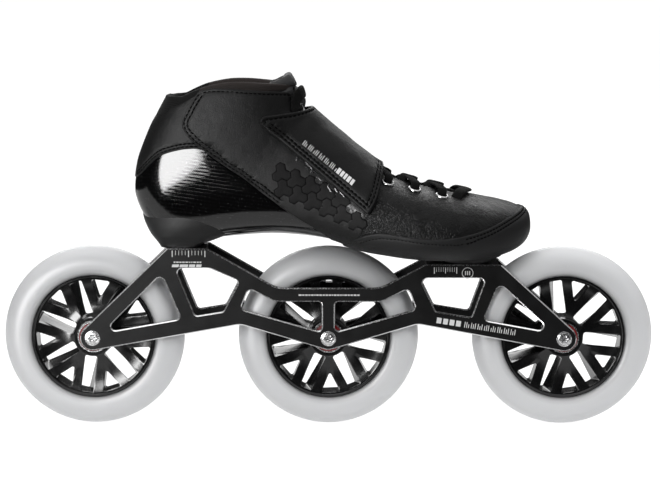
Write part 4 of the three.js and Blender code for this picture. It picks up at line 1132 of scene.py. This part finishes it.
    # toe rand, closed round the toe and open under the sole
    top_out, top_in = run(RAND_TOP, LATERAL), run(RAND_TOP, MEDIAL, wrap=True)
    cap = np.array([(1.75, 0.0), (1.78, 0.03), (1.9, 0.06)])
    cap_in = np.array([(1.9, 0.94), (1.78, 0.97), (1.75, 1.0)])
    end_s = top_out[1][-1][0]
    sole_out = [(end_s - 0.1, 0.455), (end_s - 1, 0.44), (7.2, 0.435), (5.4, 0.435), (4.3, 0.45), (3.7, 0.48),
                (3.6, 0.5)]
    sole_in = [(s, 1 - w) for s, w in sole_out[::-1]][1:]
    runs = [("edge", cap), top_out, ("hidden", spline(sole_out, 0.1)), ("hidden", spline(sole_in, 0.1)),
            back(top_in), ("edge", cap_in), straight((1.75, 1.0), (0.0, 1.0), "open", 0.7),
            ("open", np.stack([np.zeros(41), np.linspace(1, 0, 41)], 1)),
            straight((0.0, 0.0), (1.75, 0.0), "open", 0.7)]
    area = outline_of(runs, True)[0]
    rows, faint = [], []
    for line in (top_out[1], top_in[1]):
        fore, aft = line[:int(len(line) * 0.36)], line[int(len(line) * 0.36):int(len(line) * 0.93)]
        rows += [(inset(fore, d, into=area), skin(RAND, 0.2, 0, d)) for d in (2.0, 4.3)]
        faint.append((inset(aft, 4.0, into=area), skin(RAND, 0.2, 0)))
    rand = panel("rand", runs, RAND, 1.7, "rand", edge=0.6, rumple=0.2, weld=True, size=2.3,
                    creases=[(line, 0.45, 0.55) for line, _ in rows] + [(line, 0.2, 0.5) for line, _ in faint])
    place(rand, FIXED, "rand", "toe_rand")
    thread.append(stitches("rand_thread", rows, pitch=2.6, gap=0.8))
    thread.append(stitches("rand_thread_aft", faint, radius=0.24, pitch=2.5))
    return thread


def squared(n, power_x, power_y):
    """Cosine and sine round a ring of n points, swollen toward a square by powers below 1."""
    a = np.arange(n) * 2 * np.pi / n
    return [np.sign(f(a)) * np.abs(f(a)) ** power for f, power in ((np.cos, power_x), (np.sin, power_y))]


def base_block(name, rows, material):
    """Rounded foot of the boot, from (z, x start, x end, half width, squareness) rows."""
    rings = []
    for z, x0, x1, half, power in spline(rows, 0.7):
        cx, cy = squared(64, power, power)
        rings.append(np.stack([(x0 + x1) / 2 + cx * (x1 - x0) / 2, cy * half, np.full(64, z)], 1))
    return rings_object(name, rings, material, sharp=45, uv=lambda p: np.stack([p[:, 0], p[:, 2] + p[:, 1]], 1))


def gloss_mask(p):
    """Clear-printed strokes on the outer quarter, in a band below the strap's long edge."""
    a, b = np.array([-22.0, 190.0]), np.array([24.0, 150.0])
    d = (b - a) / np.linalg.norm(b - a)
    q = p[:, [0, 2]] - a
    t, n = q @ d, q @ np.array([-d[1], d[0]])
    return np.clip(1 - np.abs(n + 1.0) / 4.0, 0, 1) * np.clip(t / 6, 0, 1) * np.clip((62 - t) / 6, 0, 1)


def hex_tiles():
    """Raised three-armed blocks on the outer quarter, with painted shade in the grooves round them."""
    area = np.array([(-34.5, 184), (-31.8, 172.8), (-31.0, 160.5), (-17, 158.2), (-1, 151.6), (13.5, 145.6),
                     (25.4, 142.8), (27.4, 148.6), (14, 159.0), (3.0, 165.2), (-8, 174), (-20, 179.5), (-27.7, 186)])
    side = 3.6
    c, s = math.cos(math.radians(7)), math.sin(math.radians(7))
    x_mid, z_mid = -14.7, 168.0
    points, faces = [], []
    gap, marks = 0.26, []
    face = skin(QUARTER, QUARTER_RUMPLE, OUTER_SEED)
    height = lambda su, h: face(*su.T) + h
    meets = lambda p, q: math.dist(p, q) < 0.01
    for a in range(-20, 20):
        for b in range(-20, 20):
            if (a - b) % 3:
                continue
            cells = [(a, b), (a + 1, b), (a, b + 1)]
            mids = [(side * math.sqrt(3) * (q + r / 2), side * 1.5 * r) for q, r in cells]
            centre = np.mean(mids, 0)
            at = (x_mid + centre[0] * c - centre[1] * s, z_mid + centre[0] * s + centre[1] * c)
            if not inside(area, np.array([at]))[0]:
                continue
            edges = {}
            for x, y in mids:
                ring = [(round(x + side * math.sin(math.pi / 3 * k), 3), round(y + side * math.cos(math.pi / 3 * k), 3))
                        for k in range(6)]
                for k in range(6):
                    e = (ring[k], ring[(k + 1) % 6])
                    back_edge = next((f for f in edges if meets(f[0], e[1]) and meets(f[1], e[0])), None)
                    if back_edge:
                        del edges[back_edge]
                    else:
                        edges[e] = True
            loop = list(edges)
            chain = [loop.pop(0)]
            while loop:
                nxt = next((f for f in loop if meets(f[0], chain[-1][1])), None)
                if nxt is None:
                    break
                chain.append(nxt)
                loop.remove(nxt)
            ring = np.array([e[0] for e in chain])
            nxt, prv = np.roll(ring, -1, 0), np.roll(ring, 1, 0)
            t1, t0 = nxt - ring, ring - prv
            t1 /= np.linalg.norm(t1, axis=1, keepdims=True)
            t0 /= np.linalg.norm(t0, axis=1, keepdims=True)
            area2 = 0.5 * np.sum(ring[:, 0] * nxt[:, 1] - nxt[:, 0] * ring[:, 1])
            turn = 1 if area2 > 0 else -1
            n1 = np.stack([-t1[:, 1], t1[:, 0]], 1) * turn
            n0 = np.stack([-t0[:, 1], t0[:, 0]], 1) * turn
            m = (n0 + n1) / np.maximum(1 + np.sum(n0 * n1, 1, keepdims=True), 0.4)
            rows = []
            for inset_by, h in ((-gap, -0.3), (-gap * 0.9, 0.03), (gap * 0.8, 0.03), (gap, 0.1), (gap + 0.3, 0.16),
                                (gap + 0.9, 0.18)):
                flat = ring + m * inset_by
                xz = np.stack([x_mid + flat[:, 0] * c - flat[:, 1] * s, z_mid + flat[:, 0] * s + flat[:, 1] * c], 1)
                su = on_boot(xz)
                rows.append(lifted(*su.T, height(su, h)))
            su = on_boot([at])
            mid = lifted(*su.T, height(su, 0.19))[0]
            k, n = sum(len(p) for p in points), len(ring)
            rp, rf = rows_mesh(rows)
            points.append(np.vstack([rp, mid]))
            faces += [tuple(v + k for v in f) for f in rf]
            # the groove faces round each block take material 1, the near-black groove_shadow cloth: painted shade in
            # the grooves
            marks += [1] * (3 * n) + [0] * (3 * n) + [1]
            last = k + 5 * n
            faces += [(last + i, last + (i + 1) % n, k + len(rp)) for i in range(n)]
            faces.append(tuple(range(k, k + n))[::-1])
    o = mesh_object("tread_blocks", np.concatenate(points), faces, ["tread", "gap"], marks, sharp=40)
    return tidy(o)


def clear_strokes():
    """Glossy clear-printed strokes on the outer quarter, along the strap's long edge."""
    strokes = [[(-21.1, 189.8), (-21.6, 187.9), (-21.3, 186.6)],
               [(-15.9, 186.1), (-13.7, 184.3), (-11.4, 182.2), (-11.1, 180.2), (-12.1, 179.2)],
               [(-8.5, 176.1), (-6.5, 175.5), (-4.7, 173.7), (-3.1, 174.8)],
               [(1.3, 172.2), (-0.3, 170.4), (1.0, 167.8), (2.3, 165.8)],
               [(4.1, 169.4), (5.4, 167.3), (6.4, 165.8)], [(7.4, 166.8), (9.5, 164.7), (11.0, 162.7)]]
    face = skin(QUARTER, QUARTER_RUMPLE, OUTER_SEED)
    parts = []
    for line in strokes:
        su = on_boot(spline(line, 0.6))
        path = lifted(*su.T, face(*su.T) + 0.12)
        t = np.linspace(0, 1, len(path))
        wide = 1.15 * np.sin(np.pi * np.clip(t, 0.06, 0.94)) ** 0.4
        parts.append(flat_lace("stroke", path, normal(*su.T), wide, 0.42, material="film"))
    return joined("clear_strokes", parts)


def build_soft():
    """Tongue, collar lining and insole."""
    # tongue: a padded strip over the instep with a raised tip
    tip_s = 24.95
    width = ([5.0, 8.0, 12.0, 18.0, 22.0, 23.4, 24.1, 24.5, tip_s],
             [11.0, 12.0, 13.0, 14.5, 19.0, 21.5, 21.0, 15.0, 2.6])
    out = ridge_run(5.2, tip_s, width, LATERAL)
    inn = ridge_run(5.2, tip_s, width, MEDIAL)
    runs = [out, straight(out[1][-1], inn[1][-1]), back(inn), straight(inn[1][0], out[1][0])]

    def puff(s, w, d):
        return 1.3 * np.clip(d / 6, 0, 1) ** 0.7 * np.clip((s - 18) / 4, 0, 1) * (1 - 0.5 * np.clip((s - 24) / 1, 0, 1))

    def tongue_lift(s, w):
        aside = np.clip((np.abs(w) - 0.035) / 0.09, 0, 1)
        return (-3.1 + 1.2 * np.clip((s - 17.5) / 2.5, 0, 1) + 2.2 * np.clip((s - 23.2) / 1.4, 0, 1)
                + 6.4 * np.exp(-((s - 17.7) / 2.4) ** 2 - (w / 0.024) ** 2)
                + 1.5 * np.exp(-((s - 21.6) / 1.2) ** 2 - (w / 0.03) ** 2)
                - 4.6 * aside ** 1.3 * np.clip((s - 21.8) / 1.2, 0, 1))

    tongue = panel("tongue_pad", runs, tongue_lift, 4.0, "tongue", edge=1.6, rumple=0.7, size=2.2, bulge=puff,
                   seed=21)
    place(tongue, FIXED, "leather", "tongue")

    # lining: padded roll round the collar and the face inside
    m = 120
    clear = ridge_w(np.full(1, 22.0), 9.0)[0]
    rows = []
    us = clear + (1 - 2 * clear) * np.linspace(0, 1, m)
    wave = np.array([noise.noise(Vector((math.cos(2 * math.pi * u) * 1.6, math.sin(2 * math.pi * u) * 1.6, 3.0)))
                     for u in us])
    around = np.minimum(us, 1 - us)
    rim = np.interp(around, [0.03, 0.1, 0.17, 0.22, 0.25, 0.3, 0.34, 0.36, 0.38, 0.4, 0.42, 0.46, 0.5],
                    [23.72, 23.75, 23.8, 23.92, 24.0, 24.02, 23.95, 23.9, 23.99, 24.07, 24.14, 24.3, 24.32])
    profile = [(-1.5, -1.9), (-0.9, -1.7), (-0.5, -1.1), (-0.28, -0.9), (-0.1, -1.5), (0.0, -2.5), (-0.02, -3.8),
               (-0.16, -5.0), (-0.48, -6.0), (-0.98, -6.6), (-1.88, -6.8), (20.5, -6.4), (18.0, -6.2), (15.5, -6.2),
               (13.0, -6.2), (11.0, -6.0), (9.5, -5.6)]
    pad = np.clip(1.25 * np.exp(-((us - 0.5) / 0.13) ** 6), 0, 1)
    for s, h in profile:
        high = 0 if s > 1 else float(np.clip((s + 1.9) / 1.2, 0, 1))
        flat = 1 - 0.8 * pad if -0.6 < s <= 0 else 1
        ss = np.full(m, s) if s > 1 else rim + s * flat + high * 0.03 * wave
        hh = h + high * (1.2 * pad - 0.2 * wave)
        rows.append(lifted(ss, us, np.broadcast_to(hh, m)))
    grid = np.array(rows)
    k, n = grid.shape[:2]
    points = grid.reshape(-1, 3)
    faces = [(i * n + j, i * n + j + 1, (i + 1) * n + j + 1, (i + 1) * n + j)
             for i in range(k - 1) for j in range(n - 1)]
    dark = [1 if abs(us[j] - 0.5) < 0.2 and i < 9 else 0 for i in range(k - 1) for j in range(n - 1)]
    lining = mesh_object("collar_lining", points, faces, ["lining", "knit"], dark)
    modified(lining, "SOLIDIFY", thickness=0.9 * MM, offset=0)
    tidy(lining)
    place(lining, FIXED, "lining", "lining")

    # insole
    s, u = np.meshgrid(np.linspace(1.6, 17.5, 60), np.linspace(0.34, 0.66, 40), indexing="ij")
    top = lifted(s, u, np.full(s.shape, -7.2))
    low = lifted(s, u, np.full(s.shape, -4.2))
    k, n = s.shape
    points = np.concatenate([top.reshape(-1, 3), low.reshape(-1, 3)])
    faces = []
    for i in range(k - 1):
        for j in range(n - 1):
            a = i * n + j
            faces += [(a, a + 1, a + n + 1, a + n), (a + k * n, a + n + k * n, a + n + 1 + k * n, a + 1 + k * n)]
    rim = [i * n for i in range(k)] + [(k - 1) * n + j for j in range(1, n)]
    rim += [i * n + n - 1 for i in range(k - 2, -1, -1)] + list(range(n - 2, 0, -1))
    faces += [(a, b, b + k * n, a + k * n) for a, b in zip(rim, rim[1:] + rim[:1])]
    place(tidy(mesh_object("insole_pad", points, faces, ["insole"])), FIXED, "lining", "insole")


def flat_lace(name, path, normals, width=5.6, thick=1.25, material="lace"):
    """A flat braided lace swept along path; normals give its flat face."""
    path, normals = np.asarray(path, float), np.asarray(normals, float)
    t = np.gradient(path, axis=0)
    t /= np.linalg.norm(t, axis=1, keepdims=True)
    nm = normals - t * np.sum(normals * t, 1, keepdims=True)
    nm /= np.linalg.norm(nm, axis=1, keepdims=True)
    side = np.cross(t, nm)
    cx, cy = squared(20, 0.7, 0.8)
    w = np.broadcast_to(width, len(path))
    h = np.broadcast_to(thick, len(path))
    rows = [p + np.outer(cx * w[i] / 2, side[i]) + np.outer(cy * h[i] / 2, nm[i]) for i, p in enumerate(path)]
    return rings_object(name, rows, material)


def smooth_path(points, normals):
    """A smooth path through points, its normals, and each point's share of the way along."""
    q = spline(np.hstack([points, normals]), 0.8)
    return q[:, :3], q[:, 3:], np.linspace(0, 1, len(q))


def build_laces():
    """Eyelet rings and the lace that runs through them."""
    parts = []
    spots = {}
    for i, (x, z) in enumerate(EYELETS):
        for side in (LATERAL, MEDIAL):
            spots[i, side] = on_boot([(x, z)], side)[0]
    names = ["first", "second", "third", "fourth", "top"]
    for (i, side), (s, w) in spots.items():
        level = VAMP if i < 3 else QUARTER
        p, nr = surface(s, w), normal(s, w)
        ring = [(2.9, -1.4), (2.9, 0.35), (3.15, 0.78), (3.65, 0.98), (4.15, 0.82), (4.5, 0.4), (4.55, 0.02),
                (3.7, -0.02), (3.4, -0.3), (3.4, -1.4)]
        o = lathe(f"eyelet_{i}_{side}", ring, ["steel"], (0, 0, 0), 40, sharp=40)
        turn = Vector((0, 1, 0)).rotation_difference(Vector(nr)).to_matrix().to_4x4()
        turn.translation = Vector((p + nr * level) * MM)
        o.data.transform(turn)
        o.name = f"eyelet_ring_{'outer' if side > 0 else 'inner'}_{names[i]}"
        place(o, FIXED, "steel", f"eyelet_{'outer' if side > 0 else 'inner'}_{names[i]}")

    def lace_run(a, b, height, width=7.0):
        """Out through eyelet a, over the slot, and in under the leather on the other side to eyelet b."""
        (s0, w0), (s1, w1) = spots[a], spots[b]
        t, h = np.array([(0, -1.6), (0.03, 0.6), (0.1, 2.0), (0.2, 2.3), (0.32, 2.2), (0.5, height), (0.62, 0.0),
                         (0.71, -2.5), (0.85, -3.0), (1, -2.9)]).T
        s, w = s0 + (s1 - s0) * np.maximum(0.0, t - 0.1) ** 1.35 * 1.15, w0 + (w1 - w0) * t
        path, nn, t = smooth_path(lifted(s, w, h), normal(s, w))
        wide = width * (0.62 + 0.38 * np.clip(t / 0.16, 0, 1) - 0.2 * np.clip((t - 0.6) / 0.1, 0, 1))
        wide = wide + 0.25 * np.sin(t * 40)
        return flat_lace("run", path, nn, wide, 2.3 - 0.5 * np.clip(t / 0.3, 0, 1) + 0.12 * np.sin(t * 55))

    for i in range(4):
        parts.append(lace_run((i, LATERAL), (i + 1, MEDIAL), 1.5))
        parts.append(lace_run((i, MEDIAL), (i + 1, LATERAL), 2.5))
    # bar across the toe end of the slot, its ends passing down through the vamp
    s = s_at_ridge(92)
    w = np.linspace(0.068, -0.068, 11)
    t = 1 - np.abs(w) / 0.068
    h = -1.8 + 4.1 * np.minimum(1, t * 2.6) ** 0.6
    path, nn, t = smooth_path(lifted(s + 0.3 - 0.45 * t, w * 1.12, h), normal(np.full(11, s), w))
    parts.append(flat_lace("bar", path, nn, 7.6 + 0.3 * np.sin(t * 37), 2.4))
    # the last turn: out of the top eyelet, up the ankle, over the tongue and down to the other side
    (s0, w0), w1 = spots[4, LATERAL], spots[4, MEDIAL][1]
    climb = [(s0, w0, -1.4), (s0 + 0.45, w0, 1.0), (16.6, 0.075, 1.7), (18, 0.068, 2.0), (19.0, 0.064, 2.3),
             (19.6, 0.056, 2.7), (20.0, 0.042, 3.2), (20.2, 0.022, 3.6), (20.25, 0.0, 3.7)]
    turn = np.array(climb + [(s, -w, h) for s, w, h in climb[-2::-1]])
    turn[-1, 1] = turn[-2, 1] = w1
    path, nn, t = smooth_path(lifted(*turn.T), normal(*turn.T[:2]))
    wide = 8.2 - 2.4 * np.clip(1 - np.minimum(t, 1 - t) / 0.07, 0, 1) + 0.25 * np.sin(t * 44)
    parts.append(flat_lace("turn", path, nn, wide, 2.4 + 0.15 * np.sin(t * 60)))
    place(joined("lace_runs", parts), FIXED, "lace", "lace")


def build_strap():
    """Instep strap with its stitches and printed bars, and the hook field under it."""
    rear = [(-10, 219), (-24, 217.8), (-38, 216.8), (-43.2, 216.4)]
    corner = [(-43.2, 216.4), (-45.6, 215.4), (-46.6, 213.6), (-46.3, 211.4), (-45.2, 209.6)]
    low = [(-45.2, 209.6), (26.4, 151.6)]
    lateral_rear = run(rear, LATERAL)
    lateral = [lateral_rear, run(corner, LATERAL), run(low, LATERAL, smooth=False), run(STRAP_FRONT, LATERAL)]
    over = straight(lateral[-1][1][-1], (s_at_ridge(35.5), 0.0))
    medial_front = run([(34.6, 178), (31, 163)], MEDIAL)
    root = run([(31, 163), (-33, 204)], MEDIAL, smooth=False)
    medial_rear = run([(-33, 204), (-34, 212), (-24, 217.5), (-10, 219)], MEDIAL)
    runs = [*lateral, over, straight(over[1][-1], medial_front[1][0]), medial_front, root, medial_rear,
            straight(medial_rear[1][-1], lateral_rear[1][0])]
    top = lambda s, w: strap_lift(w) + STRAP_THICK
    area = outline_of(runs)[0]
    low_line = run(low, LATERAL, smooth=False)[1]
    front_line = run(STRAP_FRONT, LATERAL)[1]
    rear_line = np.concatenate([lateral_rear[1], run(corner, LATERAL)[1]])
    rows = [(inset(low_line, d, into=area)[2:-2], skin(top, STRAP_RUMPLE, STRAP_SEED, d)) for d in (2.5, 4.9)]
    rows += [(inset(front_line, d, into=area)[2:], skin(top, STRAP_RUMPLE, STRAP_SEED, d)) for d in (2.5, 4.9)]
    rows += [(inset(line, d, into=area), skin(top, STRAP_RUMPLE, STRAP_SEED, d))
             for line, d in ((rear_line, 2.7), (root[1], 3.0))]
    strap = panel("strap_leather", runs, top, STRAP_THICK, "strap", edge=1.1, rumple=STRAP_RUMPLE, size=2.1,
                  seed=STRAP_SEED, creases=[(line, 0.5, 0.55) for line, _ in rows[:5]])
    sewn = stitches("strap_thread", rows, pitch=3.3)
    marks = strap_marks(skin(top, STRAP_RUMPLE, STRAP_SEED))
    strap = joined("strap_leather", [strap, sewn, marks])
    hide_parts("instep_strap")
    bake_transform(strap)
    # hook field under the strap's free end
    field = [(-36, 211), (-30, 213.6), (24, 176), (26, 162), (22, 158)]
    runs = [run(field + [field[0]], LATERAL, smooth=False)]
    patch = panel("hook_field", runs, 0.98, 0.6, "loop", edge=0.3, rumple=0.1, size=3.0)
    place(patch, FIXED, "lace", "hook_patch")


def strap_marks(top):
    """Short printed bars along the strap's long edge."""
    a, b = np.array([-18.5, 196.2]), np.array([16.0, 169.0])
    d = (b - a) / np.linalg.norm(b - a)
    n = np.array([-d[1], d[0]])
    total = np.linalg.norm(b - a)
    points, faces = [], []
    t, i = 0.0, 0
    while t < total - 1:
        bold = t > total * 0.66
        wide = (1.9, 2.4, 2.1)[i % 3] if bold else 0.42
        tall = 3.4 if bold else (3.1, 3.1, 2.0, 3.1)[i % 4]
        k = len(points)
        for lift in (0.07, 0.12):
            for along_edge, across in ((t, 0), (t + wide, 0), (t + wide, tall), (t, tall)):
                su = on_boot([a + d * along_edge + n * across])
                points.append(lifted(*su.T, top(*su.T) + lift)[0])
        faces += [(k, k + 1, k + 2, k + 3)[::-1], (k + 4, k + 5, k + 6, k + 7)]
        faces += [(k + j, k + (j + 1) % 4, k + 4 + (j + 1) % 4, k + 4 + j) for j in range(4)]
        t += wide + (0.75 if bold else (0.85, 0.85, 1.7)[i % 3])
        i += 1
    return tidy(mesh_object("strap_marks", points, faces, ["print"], smooth=False))


# ---------------------------------------------------------------- stage
def build_stage():
    """White floor, table light, world and softboxes."""
    bpy.context.scene.view_settings.view_transform = "Standard"

    def sheet(name, x0, x1, y0, y1, z, tone, emit):
        paper = Nodes(name + "_paper")
        paper.set(color=(tone, tone, tone, 1), rough=0.9, spec=0.1, emission=(1, 1, 1, 1), emit=emit)
        me = bpy.data.meshes.new(name)
        me.from_pydata([(x0, y0, z), (x1, y0, z), (x1, y1, z), (x0, y1, z)], [], [(0, 1, 2, 3)])
        me.materials.append(paper.material)
        o = bpy.data.objects.new(name, me)
        bpy.context.scene.collection.objects.link(o)
        return o

    # The table gives the light that comes up from below; the bright floor shows to the camera only.
    table = sheet("table", -0.9, 0.9, -0.2, 0.9, -0.0002, 0.3, 0.6)
    table.visible_camera = False
    floor = sheet("floor", -60, 60, -60, 60, 0.0, 0.3, 0.86)
    for flag in ("visible_glossy", "visible_diffuse", "visible_transmission", "visible_shadow"):
        setattr(floor, flag, False)

    world = bpy.context.scene.world or bpy.data.worlds.new("world")
    bpy.context.scene.world = world
    world.use_nodes = True
    tree = world.node_tree
    tree.nodes.clear()
    new = lambda kind: tree.nodes.new("ShaderNode" + kind)
    out, mix, path = new("OutputWorld"), new("MixShader"), new("LightPath")
    seen, room = new("Background"), new("Background")
    coord, split, ramp = new("TexCoord"), new("SeparateXYZ"), new("MapRange")
    seen.inputs["Color"].default_value, seen.inputs["Strength"].default_value = (1, 1, 1, 1), 1.0
    room.inputs["Color"].default_value = (1, 1, 1, 1)
    link = tree.links.new
    link(coord.outputs["Generated"], split.inputs[0])
    link(split.outputs[2], ramp.inputs["Value"])
    ramp.interpolation_type = "SMOOTHSTEP"
    for key, value in (("From Min", 0.2), ("From Max", 0.95), ("To Min", 0.02), ("To Max", 0.85)):
        ramp.inputs[key].default_value = value
    link(ramp.outputs[0], room.inputs["Strength"])
    link(path.outputs["Is Camera Ray"], mix.inputs[0])
    link(room.outputs[0], mix.inputs[1])
    link(seen.outputs[0], mix.inputs[2])
    link(mix.outputs[0], out.inputs["Surface"])

    def softbox(name, location, target, size, radiance, roll=0.0, diffuse=True, glossy=True):
        data = bpy.data.lights.new(name, "AREA")
        data.shape, data.size, data.size_y = "RECTANGLE", size[0], size[1]
        data.energy = radiance * math.pi * size[0] * size[1]
        o = bpy.data.objects.new(name, data)
        o.location = location
        aim = (Vector(target) - Vector(location)).to_track_quat("-Z", "Y")
        o.rotation_euler = (aim.to_matrix() @ Matrix.Rotation(math.radians(roll), 3, "Z")).to_euler()
        o.visible_camera = False
        o.visible_diffuse, o.visible_glossy = diffuse, glossy
        bpy.context.scene.collection.objects.link(o)

    softbox("front_left", (-0.785, -1.12, 0.225), (-0.1, -0.03, 0.18), (0.86, 0.62), 22.0, 26, diffuse=False)
    softbox("left_fill", (-0.9, -1.0, 0.7), (-0.05, 0.0, 0.1), (0.9, 0.7), 3.4, glossy=False)
    softbox("overhead", (0.05, -0.12, 1.35), (0.0, 0.0, 0.1), (1.5, 0.75), 1.2)
    softbox("front_right", (0.95, -0.95, 0.95), (0.05, 0, 0.14), (0.7, 0.9), 4.6, glossy=False)
    softbox("right_sheen", (1.1, -0.7, 0.75), (0.05, 0, 0.14), (0.3, 0.8), 0.4, diffuse=False)
    softbox("behind", (0.0, 1.25, 0.85), (0.0, 0, 0.12), (1.5, 0.5), 3.6)


# ---------------------------------------------------------------- assembly
build_wheels()
build_frame()
threads = build_boot()
place(joined("tread_blocks", [hex_tiles(), clear_strokes()]), FIXED, "leather")
build_soft()
build_laces()
build_strap()
place(joined("boot_stitching", threads), FIXED, "lace")
build_stage()
